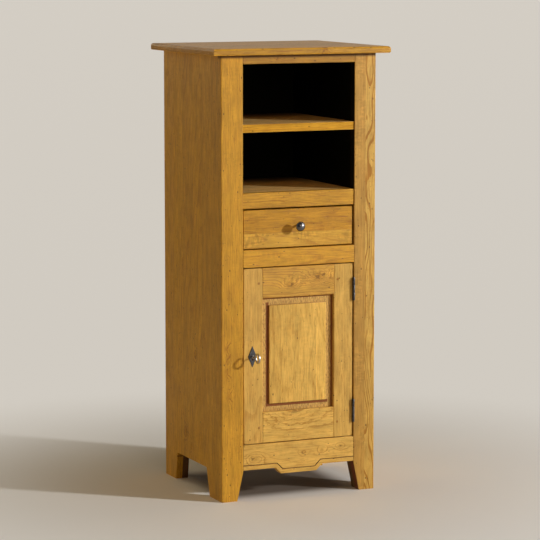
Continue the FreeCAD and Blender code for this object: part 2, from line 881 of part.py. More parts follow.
def main():
    os.makedirs("parts", exist_ok=True)

    save("top_board", top_board())
    side = left_side_panel()
    save("left_side_panel", side)
    save("right_side_panel", mirrored(side))
    save("left_front_stile", left_front_stile())
    save("right_front_stile", right_front_stile())
    save("back_panel", back_panel())

    save("top_front_rail", rail(top_rail_bottom, carcass_height, 0.0))
    save("niche_shelf", niche_shelf())
    lining = left_niche_lining()
    save("left_niche_lining", lining)
    save("right_niche_lining", mirrored(lining))
    save("niche_floor_rail", rail(niche_rail_bottom, niche_floor_top, niche_floor_rail_recess))
    save("niche_floor", niche_floor())
    save("drawer_rail", rail(drawer_rail_bottom, drawer_rail_top, 0.0))
    save("drawer_deck", drawer_deck())
    save("apron", apron())
    save("cupboard_floor", cupboard_floor())
    save("cupboard_shelf", cupboard_shelf())
    save("door_stop", door_stop())

    for name, piece in (
            ("front_foot_block", left_front_foot_block()),
            ("rear_foot_block", left_rear_foot_block()),
            ("drawer_guide", left_drawer_guide()),
            ("drawer_kicker", left_drawer_kicker()),
            ("drawer_stop", left_drawer_stop()),
            ("shelf_batten", left_shelf_batten())):
        save("left_" + name, piece)
        save("right_" + name, mirrored(piece))
    save("drawer_front", drawer_front())
    drawer_side = drawer_left_side()
    save("drawer_left_side", drawer_side)
    save("drawer_right_side", mirrored(drawer_side))
    save("drawer_back", drawer_back())
    save("drawer_bottom", drawer_bottom())
    save("drawer_knob", drawer_knob())

    save("door_lock_stile", door_lock_stile())
    save("door_hinge_stile", door_hinge_stile())
    save("door_bottom_rail", door_rail(door_bottom, panel_bottom, panel_bottom))
    save("door_top_rail", door_rail(panel_top, door_top, panel_top))
    save("door_panel", door_panel())
    save("door_pegs", *door_pegs())

    for name, bottom in (("upper_hinge", upper_hinge_bottom), ("lower_hinge", lower_hinge_bottom)):
        save(name + "_frame_leaf", hinge_leaf(1, bottom))
        save(name + "_door_leaf", hinge_leaf(-1, bottom))
        save(name + "_pin", hinge_pin(bottom))

    save("escutcheon", escutcheon())
    save("lock_case", lock_case())
    save("lock_bolt", lock_bolt())
    save("key", key())
    save("strike_plate", strike_plate())


main()
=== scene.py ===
"""Looks of the rustic oak highboard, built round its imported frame.

Metres, +Z up, with the front towards -Y. Places come from the frame's nodes.
"""
import math

import bmesh
import bpy
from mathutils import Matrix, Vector, noise


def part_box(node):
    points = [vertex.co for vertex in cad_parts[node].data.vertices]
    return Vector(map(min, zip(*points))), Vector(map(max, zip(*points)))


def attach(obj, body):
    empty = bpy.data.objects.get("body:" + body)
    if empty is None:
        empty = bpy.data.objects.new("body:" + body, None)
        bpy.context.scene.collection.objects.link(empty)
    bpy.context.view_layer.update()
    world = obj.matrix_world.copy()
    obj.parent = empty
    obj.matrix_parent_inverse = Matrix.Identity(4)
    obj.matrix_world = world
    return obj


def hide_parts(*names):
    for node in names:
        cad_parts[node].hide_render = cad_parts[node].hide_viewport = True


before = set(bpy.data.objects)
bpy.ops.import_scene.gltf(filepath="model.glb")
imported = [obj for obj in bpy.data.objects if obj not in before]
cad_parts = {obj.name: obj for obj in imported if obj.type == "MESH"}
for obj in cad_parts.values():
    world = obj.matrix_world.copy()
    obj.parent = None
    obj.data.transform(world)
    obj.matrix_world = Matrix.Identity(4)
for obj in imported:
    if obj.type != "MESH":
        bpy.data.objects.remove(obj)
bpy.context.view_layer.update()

# Camera of the photograph, whose frame is square
CAMERA_TURN = math.radians(23.656)
CAMERA_DIP = math.radians(7.419)
CAMERA_DISTANCE = 7.4128
CAMERA_TARGET = Vector((-0.0958, -0.2145, 0.6972))
CAMERA_LENS = 165.18
CAMERA_SENSOR = 36.0

# Light: a far key lamp at the front right, a wide lamp in front, and weak lamps at the left and behind
LAMP_AIM = Vector((0.0, -0.1, 0.7))
KEY_PLACE = Vector((4.88, -4.5, 2.5))
KEY_SIZE = 0.45
KEY_POWER = 356.0
KEY_WHITE = (1.0, 1.0, 1.0)
FILL_PLACE = Vector((-0.6, -4.0, 2.3))
FILL_SIZE = 2.2
FILL_POWER = 20.0
FILL_WARM = (1.0, 0.74, 0.50)
SIDE_PLACE = Vector((-4.0, 0.7, 0.85))
SIDE_SIZE = 1.4
SIDE_POWER = 18.5
SIDE_WARM = (1.0, 0.85, 0.52)
BACK_PLACE = Vector((-1.2, 3.4, 2.2))
BACK_SIZE = 1.6
BACK_POWER = 13.0

# Room: its weak light, and what the camera and the gloss of the iron see of it
ROOM_LIGHT = 0.085
ROOM_SEEN = 0.7
STUDIO_SEEN = 0.1
STUDIO_LIMITS = (0.2, -0.3)
WINDOW_SEEN = 4.2
WINDOW_WAY = Vector((0.85, -0.50, 0.30)).normalized()
WINDOW_LIMITS = (0.80, 0.90)
ROOM_COLOUR = (1.0, 0.96, 0.90, 1.0)
ROOM_WARM = (1.0, 0.74, 0.50, 1.0)

# Floor: pale, with painted shade under the part, and glowing further out so that it joins the room
FLOOR_RADIUS = 400.0
FLOOR_WIDTH = 2.0 * FLOOR_RADIUS
FLOOR_SIDES = 96
FLOOR_ROUGHNESS = 0.75
FLOOR_SHEEN = 0.1
FLOOR_COLOUR = (0.97, 0.955, 0.91, 1.0)
FLOOR_SHADE = (0.10, 0.065, 0.04, 1.0)
FLOOR_SHADE_SHARE = 0.9
FLOOR_SHADE_REACH = 0.09
FLOOR_GLOW = (0.61, 0.57, 0.51, 1.0)
FLOOR_FADE = (0.35, 1.8)
FLOOR_FAR = (90.0, 350.0)
BLACK = (0.0, 0.0, 0.0, 1.0)

# Wood colours, as linear light
OAK_LIGHT = (0.660, 0.345, 0.024, 1.0)
OAK_DARK = (0.365, 0.140, 0.008, 1.0)
OAK_TAN = (0.560, 0.300, 0.080, 1.0)
PALE_LIGHT = (0.715, 0.445, 0.098, 1.0)
PALE_DARK = (0.440, 0.212, 0.030, 1.0)
AMBER_LIGHT = (0.625, 0.310, 0.018, 1.0)
AMBER_DARK = (0.330, 0.120, 0.006, 1.0)
HONEY_LIGHT = (0.680, 0.385, 0.045, 1.0)
HONEY_DARK = (0.400, 0.170, 0.016, 1.0)
PINK_LIGHT = (0.620, 0.345, 0.065, 1.0)
PINK_DARK = (0.400, 0.185, 0.030, 1.0)
# Paler colours of the shelf tops: painted light
SHELF_LIGHT = (0.660, 0.450, 0.175, 1.0)
SHELF_DARK = (0.460, 0.285, 0.090, 1.0)
PLAIN_LIGHT = (0.60, 0.43, 0.235, 1.0)
PLAIN_DARK = (0.40, 0.255, 0.115, 1.0)
# Near-black colours of the foot blocks: painted shade under the part
BLOCK_LIGHT = (0.110, 0.045, 0.018, 1.0)
BLOCK_DARK = (0.035, 0.014, 0.007, 1.0)
KNOT_BROWN = (0.110, 0.042, 0.010, 1.0)
NICK_BROWN = (0.050, 0.020, 0.008, 1.0)
END_BROWN = (0.200, 0.070, 0.016, 1.0)
BORDER_TAN = (0.600, 0.375, 0.120, 1.0)
BORDER_BROWN = (0.230, 0.098, 0.030, 1.0)
# The next three colours are painted shade: in the corners of the panel's border, in the niches, and on the
# feet's inner faces
PAINTED_CORNER_SHADE = (0.190, 0.045, 0.008, 1.0)
PAINTED_NICHE_SHADE = (0.0036, 0.0046, 0.0024, 1.0)
PAINTED_FOOT_SHADE = (0.220, 0.062, 0.022, 1.0)

# Noises of the wood: waves per metre along the grain, waves per metre across it, and detail
WAVER = (2.2, 9.0, 2.0)
RING_ROUGH = (10.0, 220.0, 2.0)
KNOT_ROUGH = (60.0, 130.0, 3.0)
STREAK = (15.0, 240.0, 3.0)
MOTTLE = (16.0, 48.0, 2.0)
FIBRE = (18.0, 480.0, 3.0)
PORE = (48.0, 640.0, 1.0)
CLOUD = (4.0, 16.0, 2.0)
RAY_AREA = (9.0, 22.0, 2.0)
RAY = (125.0, 42.0, 2.0)
SPECKLE = (95.0, 420.0, 3.0)
BAND_PITCH = 38.0
BAND_DETAIL = 3.0
MIDDLE = 0.5

# Staves, the heart of the tree and its years; a layer keeps the chance of one apart from that of another
STAVE_LAYER = 0.5
TREE_LAYER = 1.5
YEAR_LAYER = 2.5
BLOCK_LENGTH = 9.0
STAVE_TONE = 0.7
STAVE_SEAM = 0.0004
BESIDE_SEED = 5.0
HEART_DEPTH = 0.03
LEAST_ASIDE = 0.6
LEAST_DEPTH = 0.35
TILT_SPREAD = 2.0
WAVER_REACH = 0.05
RING_JAG = 0.16
LATE_WOOD_RISE = (0.55, 0.9)
LATE_WOOD_END = (1.0, 0.96)
LEAST_YEAR = 0.3

# How strongly the marks of the wood show; limits are where a mark starts and is full, then its two strengths
DARK_START = 0.2
STREAK_SHARE = 1.4
FIBRE_SHARE = 1.3
PORE_LIMITS = (0.60, 0.68)
PORE_SHARE = 0.5
CLOUD_SHARE = 0.4
MOTTLE_SHARE = 0.55
RAY_LIMITS = (0.40, 0.62, -0.5, 0.5)
RAY_AREA_LIMITS = (0.46, 0.6)
RAY_SHARE = 0.36
GLUE_LIMITS = (0.0009, 0.0003)
GLUE_SHARE = 0.9
JOINT_LIMITS = (0.0017, 0.0005)
JOINT_SHARE = 0.3
# Strength of the painted shade under the top's overhang
OVERHANG_SHADE_SHARE = 0.8
END_SHARE = 0.3

# Knots: how ragged they are, and where their parts start and are full in sizes of the knot
LEAST_KNOT = 0.0001
KNOT_RAGGED = (0.7, 0.6)
KNOT_FLATNESS = 0.6
KNOT_FALL = -0.4
KNOT_SWELL = 1.6
KNOT_LINES = 0.7
CORE_LIMITS = (1.1, 0.3)
CORE_SHARE = 0.4
SWIRL_LIMITS = (2.4, 1.0)
FLECK_LIMITS = (0.53, 0.57)
FLECK_SHARE = 0.65

# Worm holes, pits, the marks of wear, and the painted highlight of rubbed edges
SPOT_RAGGED = (0.6, 0.8)
SPOT_CORE = 0.6
PIT_CELLS = (60.0, 110.0)
PIT_SIZE = (0.08, 0.17)
PIT_SHARE = 0.75
WORM_CELLS = (15.0, 30.0)
WORM_SIZE = (0.01, 0.05)
WORM_SHARE = 0.7
WORN_PITS = (0.0, 0.3, 0.0, 0.45)
RUB_AND_HIGHLIGHT_LIMITS = (0.02, 0.35, 0.0, 0.30)
KNOCKED_LIMITS = (0.55, 0.85, 0.0, 0.85)

# Gloss and relief of the wood
OAK_SHEEN = 0.24
# Low gloss of the niche boards, which carry painted shade
DARK_NICHE_SHEEN = 0.05
OAK_ROUGHNESS = 0.36
ROUGHNESS_SHARES = {"fibre": 0.14, "pore": 0.15, "core": 0.1}
HEIGHT_SHARES = {
    "fibre": 0.35, "late_wood": 0.25, "pore": -0.6, "hole": -2.0, "pit": -1.5, "glue": -0.6, "joint": -1.5,
    "fleck": -0.8, "cloud": 1.5}
OAK_BUMP = {"Strength": 0.4, "Distance": 0.0006}

# Rough border round the raised field of the door's panel, with painted shade in its corners
PANEL_FIELD = {"X": (-0.0945, 0.093), "Z": (0.289, 0.5885)}
PANEL_FIELD_REAR = -0.195
FAR_INSIDE = -1.0
BORDER_FADE = 0.001
BORDER_SHARE = 0.6
SPECKLE_LIMITS = (0.46, 0.62, 0.0, 0.65)
CORNER_START = (-0.0004, 0.0002)
CORNER_END = (0.0095, 0.0085)
CORNER_SHARE = 0.9
RIM_SHARE = 0.4
RIM_END = (0.0020, 0.0012)
FAR_CORNER = (0.0165, 0.0200)

# Places on the boards: where another stave begins, and where the painted shade of the niches, the feet and
# the overhang starts and is full
OPENING_HALF = 0.183
STILE_SEAM = 0.2195
DRAWER_SEAM = 0.8075
PANEL_SEAM = 0.060
SHELF_NOSE = 0.005
APRON_GROOVE = 0.0025
TOP_OVERHANG_SHADE = (-0.014, -0.005)
NICHE_FRONT = (0.001, 0.005)
NICHE_BASE = (-0.006, 0.002)
NICHE_SIDE = (0.0012, 0.0004)
# Painted shade on the feet's inner faces
FOOT_FRONT = (0.001, 0.004)
FOOT_TOP = (-0.01, -0.02)
FOOT_SIDE = (0.029, 0.024)
# Painted shade in the niches: how far behind the front it starts and is full
SHELF_SHADE_FADE = (0.20, 0.48)
LINING_SHADE_FADE = (-0.08, 0.04)
BACK_FADE = 0.002
BACK_BASE = (0.0, 0.01)

# Metals: colour, colour of the rubbed patches, and roughness; noises by waves per metre and detail
METALS = {
    "blackened_iron": ((0.080, 0.079, 0.084, 1.0), (0.13, 0.128, 0.13, 1.0), 0.36),
    "polished_iron": ((0.150, 0.150, 0.155, 1.0), (0.19, 0.19, 0.19, 1.0), 0.18),
    "rubbed_iron": ((0.46, 0.45, 0.44, 1.0), (0.58, 0.57, 0.56, 1.0), 0.22),
    "bright_steel": ((0.42, 0.41, 0.40, 1.0), (0.52, 0.51, 0.50, 1.0), 0.35),
}
METAL_PATCH = (90.0, 3.0)
METAL_GRAIN = (900.0, 2.0)
METAL_RUBBED = (0.5, 0.75)
METAL_SPREAD = 0.12
METAL_GRAIN_HEIGHT = 0.2
METAL_BUMP = {"Strength": 0.2, "Distance": 0.0004}

# Screws: radius and height of a head, its shape in shares of them, and the places of the screws
FITTING_SCREW = (0.0028, 0.0004)
BOARD_SCREW = (0.004, 0.0008)
HEAD_SIDES = 20
HEAD_TAPER = 0.82
SLOT_LENGTH = 2.2
SLOT_WIDTH = 0.3
SLOT_LIFT = 0.85
HINGE_FACE_MIDDLE = 0.181
HINGE_FACE_GAP = 0.0016
HINGE_SCREW_INSET = 0.006
HINGE_SCREWS = ((0.16, 0.0), (0.5, 0.006), (0.84, 0.0))
PLATE_SCREW_INSET = 0.006
CASE_SIDE_INSET = 0.012
CASE_END_INSET = 0.005
CASE_FLANGE = 0.002
BACK_PITCH_ACROSS = 0.16
BACK_PITCH_UP = 0.2
BACK_SIDE_INSET = 0.006
BACK_END_INSET = 0.009
BATTEN_PITCH = 0.1
BATTEN_INSET = 0.008
STOP_PITCH = 0.1
STOP_RISE = 0.03

# Shaping of the worn boards and the fittings
MERGE_GAP = 1e-6
FLAT_ANGLE = 0.01
SHARP_ANGLE = math.radians(35.0)
CUT_STEP = 0.007
EDGE_MARGIN = 0.004
NARROW_BOARD = 4.0 * EDGE_MARGIN
ROUND_STRIP = 0.0026
SOFT_EDGE = 0.0007
FITTING_EDGE = 0.0003
EDGE_SEGMENTS = 2
EDGE_PROFILE = 0.5
ROUND_START = 0.995
ROUND_SPAN = 0.12
END_START = 0.5
END_SPAN = 0.3
GROOVE_BAND = 0.0002
GROOVE_DARKENING = 0.95
WEAR_DEPTH = 0.0015
WEAR_SCALE = Vector((60.0, 60.0, 60.0))
WEAR_STRETCH = 0.3
RUB_FINE = 3.1
RUB_FINE_SHARE = 0.5
RUB_LEVEL = 0.18
RUB_SHARE = 0.5
RUB_POWER = 1.5
LEAST_RUB = 0.2
MOST_RUB = 0.5

# Numbers of the sockets that share their name with others on one node
MIX_SHARE = 0
MIX_FIRST = 6
MIX_SECOND = 7
MIX_COLOUR = 2
RANDOM_LOW = 2
RANDOM_HIGH = 3
RANDOM_VALUE = 1

SIDES = ("left", "right")
LEVELS = ("upper", "lower")
ORIGIN = (0.0, 0.0, 0.0)
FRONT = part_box("left_front_stile")[0].y


class Graph:
    """A node tree with short calls that add a node, fill its inputs and give back its result."""

    def __init__(self, tree):
        self.tree = tree

    def fill(self, socket, value):
        if isinstance(value, bpy.types.NodeSocket):
            self.tree.links.new(value, socket)
        else:
            socket.default_value = value

    def node(self, kind, inputs=None, **settings):
        made = self.tree.nodes.new(kind)
        for name, value in settings.items():
            setattr(made, name, value)
        for name, value in (inputs or {}).items():
            self.fill(made.inputs[name], value)
        return made

    def math(self, operation, *values):
        made = self.node("ShaderNodeMath", operation=operation)
        for socket, value in zip(made.inputs, values):
            self.fill(socket, value)
        return made.outputs[0]

    def total(self, *values):
        result = values[0]
        for value in values[1:]:
            result = self.math("ADD", result, value)
        return result

    def times(self, *values):
        result = values[0]
        for value in values[1:]:
            result = self.math("MULTIPLY", result, value)
        return result

    def less(self, first, second):
        return self.math("SUBTRACT", first, second)

    def swing(self, value):
        """How far a noise, a random value or a share lies from its middle."""
        return self.less(value, MIDDLE)

    def most(self, first, second):
        return self.math("MAXIMUM", first, second)

    def least(self, first, second):
        return self.math("MINIMUM", first, second)

    def length(self, first, second):
        return self.math("SQRT", self.total(self.times(first, first), self.times(second, second)))

    def fade(self, value, start, end, low=0.0, high=1.0):
        """A smooth step from low at start to high at end."""
        inputs = {"Value": value, "From Min": start, "From Max": end, "To Min": low, "To Max": high}
        return self.node("ShaderNodeMapRange", inputs, interpolation_type="SMOOTHSTEP").outputs[0]

    def vector(self, x, y, z):
        return self.node("ShaderNodeCombineXYZ", {"X": x, "Y": y, "Z": z}).outputs[0]

    def parts(self, vector):
        return self.node("ShaderNodeSeparateXYZ", {"Vector": vector}).outputs

    def noise(self, place, detail):
        return self.node("ShaderNodeTexNoise", {"Vector": place, "Scale": 1.0, "Detail": detail}).outputs[0]

    def luck(self, place):
        """Three random values that stay the same for one place."""
        return self.parts(self.node("ShaderNodeTexWhiteNoise", {"Vector": place}).outputs["Color"])

    def mix(self, share, first, second):
        made = self.node("ShaderNodeMix", data_type="RGBA")
        for place, value in ((MIX_SHARE, share), (MIX_FIRST, first), (MIX_SECOND, second)):
            self.fill(made.inputs[place], value)
        return made.outputs[MIX_COLOUR]

    def tint(self, colour, strength):
        """The colour made lighter or darker."""
        scale = self.node("ShaderNodeVectorMath", {"Vector": colour, "Scale": strength}, operation="SCALE")
        return scale.outputs[0]


def new_group(name, kind, inputs, outputs):
    """A node group with named sockets; gives its graph, its input sockets and its output node."""
    tree = bpy.data.node_groups.new(name, kind)
    for socket_name, socket_type, default in inputs:
        socket = tree.interface.new_socket(socket_name, in_out="INPUT", socket_type=socket_type)
        if default is not None:
            socket.default_value = default
    for socket_name, socket_type in outputs:
        tree.interface.new_socket(socket_name, in_out="OUTPUT", socket_type=socket_type)
    graph = Graph(tree)
    given = graph.node("NodeGroupInput").outputs
    return graph, given, graph.node("NodeGroupOutput").inputs


# Wood

KNOTS = ("Knot 1", "Knot 2", "Knot 3", "Knot 4")
OAK_INPUTS = [
    ("Place", "NodeSocketVector", None),
    ("Light Wood", "NodeSocketColor", OAK_LIGHT),
    ("Dark Wood", "NodeSocketColor", OAK_DARK),
    ("Tone", "NodeSocketFloat", 1.0),
    ("Stave Width", "NodeSocketFloat", 0.08),
    ("Stave Change", "NodeSocketFloat", 0.3),
    ("Ring Gap", "NodeSocketFloat", 0.006),
    ("Heart Aside", "NodeSocketFloat", 0.12),
    ("Heart Tilt", "NodeSocketFloat", 0.04),
    ("Ring Lines", "NodeSocketFloat", 0.3),
    ("Bands", "NodeSocketFloat", 0.5),
    ("Ripple", "NodeSocketFloat", 0.2),
    ("Worm", "NodeSocketFloat", 0.3),
    ("Pits", "NodeSocketFloat", 0.05),
    ("Wear And Highlight", "NodeSocketFloat", 0.0),
    ("End Grain", "NodeSocketFloat", 0.0),
    ("Joint Low", "NodeSocketFloat", -9.0),
    ("Joint High", "NodeSocketFloat", 900.0),
] + [(knot, "NodeSocketVector", None) for knot in KNOTS]
OAK_OUTPUTS = [
    ("Colour", "NodeSocketColor"),
    ("Roughness", "NodeSocketFloat"),
    ("Height", "NodeSocketFloat"),
]


def spots(graph, along, across, cells, sizes, chance, rough):
    """Small ragged dark spots, one in a cell at most."""
    place = graph.vector(graph.times(along, cells[0]), graph.times(across, cells[1]), 0.0)
    cell = graph.node("ShaderNodeTexVoronoi", {"Vector": place, "Scale": 1.0}, voronoi_dimensions="2D")
    luck = graph.parts(cell.outputs["Color"])
    size = graph.total(sizes[0], graph.times(luck[1], luck[1], sizes[1]))
    ragged = graph.total(SPOT_RAGGED[0], graph.times(rough, SPOT_RAGGED[1]))
    reach = graph.times(cell.outputs["Distance"], ragged)
    inside = graph.fade(reach, size, graph.times(size, SPOT_CORE))
    return graph.times(inside, graph.math("LESS_THAN", luck[0], chance))


def oak_group():
    """Grain of a sawn board: X of Place runs along the grain, Y across the board and Z into it.

    A knot is a place along and across the board, with its size as the third number.
    """
    graph, given, result = new_group("rustic_oak", "ShaderNodeTree", OAK_INPUTS, OAK_OUTPUTS)
    along, across, deep = graph.parts(given["Place"])

    def grain_noise(waves):
        waves_along, waves_across, detail = waves
        place = graph.vector(
            graph.times(along, waves_along), graph.times(across, waves_across),
            graph.times(deep, waves_across))
        return graph.noise(place, detail)

    # Staves, and blocks end to end in a stave, each cut from another tree
    stave = graph.math("DIVIDE", across, given["Stave Width"])
    stave_number = graph.math("FLOOR", stave)
    stave_luck = graph.luck(graph.vector(stave_number, STAVE_LAYER, STAVE_LAYER))
    block = graph.total(graph.math("DIVIDE", along, BLOCK_LENGTH), stave_luck[0])
    tree_luck = graph.luck(graph.vector(stave_number, graph.math("FLOOR", block), TREE_LAYER))
    stave_share = graph.math("FRACT", stave)
    from_middle = graph.times(graph.swing(stave_share), given["Stave Width"])

    # Growth rings round the heart of the tree, bent round the knots
    waver = graph.times(graph.swing(grain_noise(WAVER)), WAVER_REACH)
    aside = graph.total(
        from_middle, graph.times(given["Heart Aside"], graph.total(LEAST_ASIDE, tree_luck[0])), waver)
    tilt = graph.times(graph.swing(tree_luck[1]), TILT_SPREAD, given["Heart Tilt"])
    below = graph.total(
        deep, graph.times(graph.total(tree_luck[1], LEAST_DEPTH), HEART_DEPTH), graph.times(along, tilt),
        waver)
    radius = graph.length(aside, below)
    knot_rough = grain_noise(KNOT_ROUGH)
    ragged = graph.total(KNOT_RAGGED[0], graph.times(knot_rough, KNOT_RAGGED[1]))
    core = 0.0
    swirl = 0.0
    for name in KNOTS:
        knot_along, knot_across, knot_size = graph.parts(given[name])
        size = graph.most(knot_size, LEAST_KNOT)
        apart = graph.length(
            graph.times(graph.less(along, knot_along), KNOT_FLATNESS), graph.less(across, knot_across))
        reach = graph.math("DIVIDE", graph.times(apart, ragged), size)
        swell = graph.math("EXPONENT", graph.times(reach, reach, KNOT_FALL))
        radius = graph.total(radius, graph.times(swell, size, KNOT_SWELL))
        core = graph.most(core, graph.fade(reach, *CORE_LIMITS))
        swirl = graph.most(swirl, graph.fade(reach, *SWIRL_LIMITS))
    fleck = graph.times(core, graph.fade(knot_rough, *FLECK_LIMITS))
    ring = graph.total(
        graph.math("DIVIDE", radius, given["Ring Gap"]), graph.times(grain_noise(RING_ROUGH), RING_JAG))
    year_luck = graph.luck(graph.vector(graph.math("FLOOR", ring), stave_number, YEAR_LAYER))
    year = graph.math("FRACT", ring)
    late_wood = graph.times(
        graph.fade(year, *LATE_WOOD_RISE), graph.fade(year, *LATE_WOOD_END),
        graph.total(year_luck[0], LEAST_YEAR))
    band = graph.noise(graph.vector(graph.times(radius, BAND_PITCH), along, stave_number), BAND_DETAIL)

    # Fibres and pores, long and thin along the grain
    fibre = grain_noise(FIBRE)
    pore = graph.fade(grain_noise(PORE), *PORE_LIMITS)
    lines = graph.total(given["Ring Lines"], graph.times(swirl, KNOT_LINES))
    dark_share = graph.total(
        DARK_START, graph.times(lines, late_wood), graph.times(given["Bands"], graph.swing(band)),
        graph.times(graph.swing(grain_noise(STREAK)), STREAK_SHARE),
        graph.times(graph.swing(fibre), FIBRE_SHARE), graph.times(pore, PORE_SHARE))
    dark_share = graph.least(graph.most(dark_share, 0.0), 1.0)
    colour = graph.mix(dark_share, given["Light Wood"], given["Dark Wood"])

    # Tone of each stave, and of each part of the board
    colour = graph.mix(graph.times(tree_luck[0], given["Stave Change"]), colour, OAK_TAN)
    cloud = grain_noise(CLOUD)
    strength = graph.total(
        1.0, graph.times(graph.swing(tree_luck[2]), given["Stave Change"], STAVE_TONE),
        graph.times(graph.swing(cloud), CLOUD_SHARE),
        graph.times(graph.swing(grain_noise(MOTTLE)), MOTTLE_SHARE))
    colour = graph.tint(colour, graph.times(strength, given["Tone"]))

    # Ripple of the rays, pale across the grain
    ray = graph.times(
        graph.fade(grain_noise(RAY), *RAY_LIMITS), graph.fade(grain_noise(RAY_AREA), *RAY_AREA_LIMITS),
        given["Ripple"])
    colour = graph.tint(colour, graph.total(1.0, graph.times(ray, RAY_SHARE)))

    # Glue lines between staves, and the joints at the ends of a rail
    from_glue = graph.times(graph.least(stave_share, graph.less(1.0, stave_share)), given["Stave Width"])
    glue = graph.times(graph.fade(from_glue, *GLUE_LIMITS), given["Stave Change"])
    from_low, from_high = [
        graph.math("ABSOLUTE", graph.less(along, given[name])) for name in ("Joint Low", "Joint High")]
    joint = graph.times(graph.fade(graph.least(from_low, from_high), *JOINT_LIMITS), JOINT_SHARE)
    colour = graph.tint(colour, graph.less(1.0, graph.times(glue, GLUE_SHARE)))
    colour = graph.mix(joint, colour, NICK_BROWN)

    # Knots, worm holes, pits, rubbed edges (worn, and lightened as a painted highlight), knocked edges, and
    # end grain
    wear_and_highlight = given["Wear And Highlight"]
    colour = graph.mix(graph.times(core, CORE_SHARE), colour, given["Dark Wood"])
    colour = graph.mix(graph.times(fleck, FLECK_SHARE), colour, KNOT_BROWN)
    hole = spots(graph, along, across, WORM_CELLS, WORM_SIZE, given["Worm"], knot_rough)
    pit_chance = graph.total(given["Pits"], graph.fade(wear_and_highlight, *WORN_PITS))
    pit = spots(graph, along, graph.total(across, deep), PIT_CELLS, PIT_SIZE, pit_chance, knot_rough)
    # Rubbed edges are made lighter: partly wear, partly a painted highlight
    colour = graph.tint(colour, graph.total(1.0, graph.fade(wear_and_highlight, *RUB_AND_HIGHLIGHT_LIMITS)))
    colour = graph.mix(graph.times(hole, WORM_SHARE), colour, KNOT_BROWN)
    colour = graph.mix(graph.times(pit, PIT_SHARE), colour, NICK_BROWN)
    colour = graph.mix(graph.fade(wear_and_highlight, *KNOCKED_LIMITS), colour, NICK_BROWN)
    colour = graph.mix(graph.times(given["End Grain"], END_SHARE), colour, END_BROWN)

    # Gloss and relief of all the marks
    marks = {
        "fibre": fibre, "late_wood": late_wood, "pore": pore, "core": core, "hole": hole, "pit": pit,
        "glue": glue, "joint": joint, "fleck": fleck, "cloud": cloud}

    def weighed(shares):
        return [graph.times(marks[name], share) for name, share in shares.items()]

    graph.fill(result["Colour"], colour)
    graph.fill(result["Roughness"], graph.total(OAK_ROUGHNESS, *weighed(ROUGHNESS_SHARES)))
    graph.fill(result["Height"], graph.total(*weighed(HEIGHT_SHARES)))
    return graph.tree


def new_material(name):
    """A material with its graph and its surface shader."""
    material = bpy.data.materials.new(name)
    material.use_nodes = True
    graph = Graph(material.node_tree)
    return material, graph, material.node_tree.nodes["Principled BSDF"].inputs


def grown(graph, axis, order, start, seed, knots, grain):
    """Places the oak group in a material, with its grain laid out by order."""
    shift = [seed - start[0], -start[1], -start[2]]
    places = [graph.total(axis[letter], move) for letter, move in zip(order, shift)]
    sockets = {"Place": graph.vector(*places)}
    for socket, attribute in (("Wear And Highlight", "edge_wear_and_highlight"), ("End Grain", "end_grain")):
        sockets[socket] = graph.node("ShaderNodeAttribute", attribute_name=attribute).outputs["Fac"]
    for name, (knot_along, knot_across, size) in zip(KNOTS, knots):
        sockets[name] = (knot_along + shift[0], knot_across + shift[1], size)
    for key, value in grain.items():
        sockets[key.replace("_", " ").title()] = value + shift[0] if key.startswith("joint") else value
    made = graph.node("ShaderNodeGroup", node_tree=OAK)
    for key, value in sockets.items():
        graph.fill(made.inputs[key], value)
    return made.outputs


def paint_border(graph, axis, order, border, colour):
    """Paints the sunk rough border round a raised field, and painted shade in its corners and along the
    frame at the top and right.
    """
    field, rear = border
    low_side = FAR_INSIDE
    high_side = FAR_INSIDE
    for letter, (low, high) in field.items():
        low_side = graph.most(low_side, graph.less(low, axis[letter]))
        high_side = graph.most(high_side, graph.less(axis[letter], high))
    outside = graph.most(low_side, high_side)
    waves = [graph.times(axis[letter], share) for letter, share in zip(order, SPECKLE[:2])]
    speckle = graph.noise(graph.vector(*waves, 0.0), SPECKLE[2])
    in_front = graph.fade(axis["Y"], rear, rear - BORDER_FADE)
    on_border = graph.times(in_front, graph.fade(outside, 0.0, BORDER_FADE))
    colour = graph.mix(graph.times(on_border, BORDER_SHARE), colour, BORDER_TAN)
    colour = graph.mix(graph.times(on_border, graph.fade(speckle, *SPECKLE_LIMITS)), colour, BORDER_BROWN)
    # Painted shade: wide beside the field's left and lower shoulders, a thin line all round the field, and
    # along the frame at the top and right
    corner = graph.times(graph.fade(low_side, *CORNER_START), graph.fade(outside, *CORNER_END))
    rim = graph.times(graph.fade(outside, *CORNER_START, 0.0, RIM_SHARE), graph.fade(outside, *RIM_END))
    corner = graph.most(corner, rim)
    corner = graph.most(corner, graph.fade(high_side, *FAR_CORNER))
    return graph.mix(graph.times(in_front, corner, CORNER_SHARE), colour, PAINTED_CORNER_SHADE)


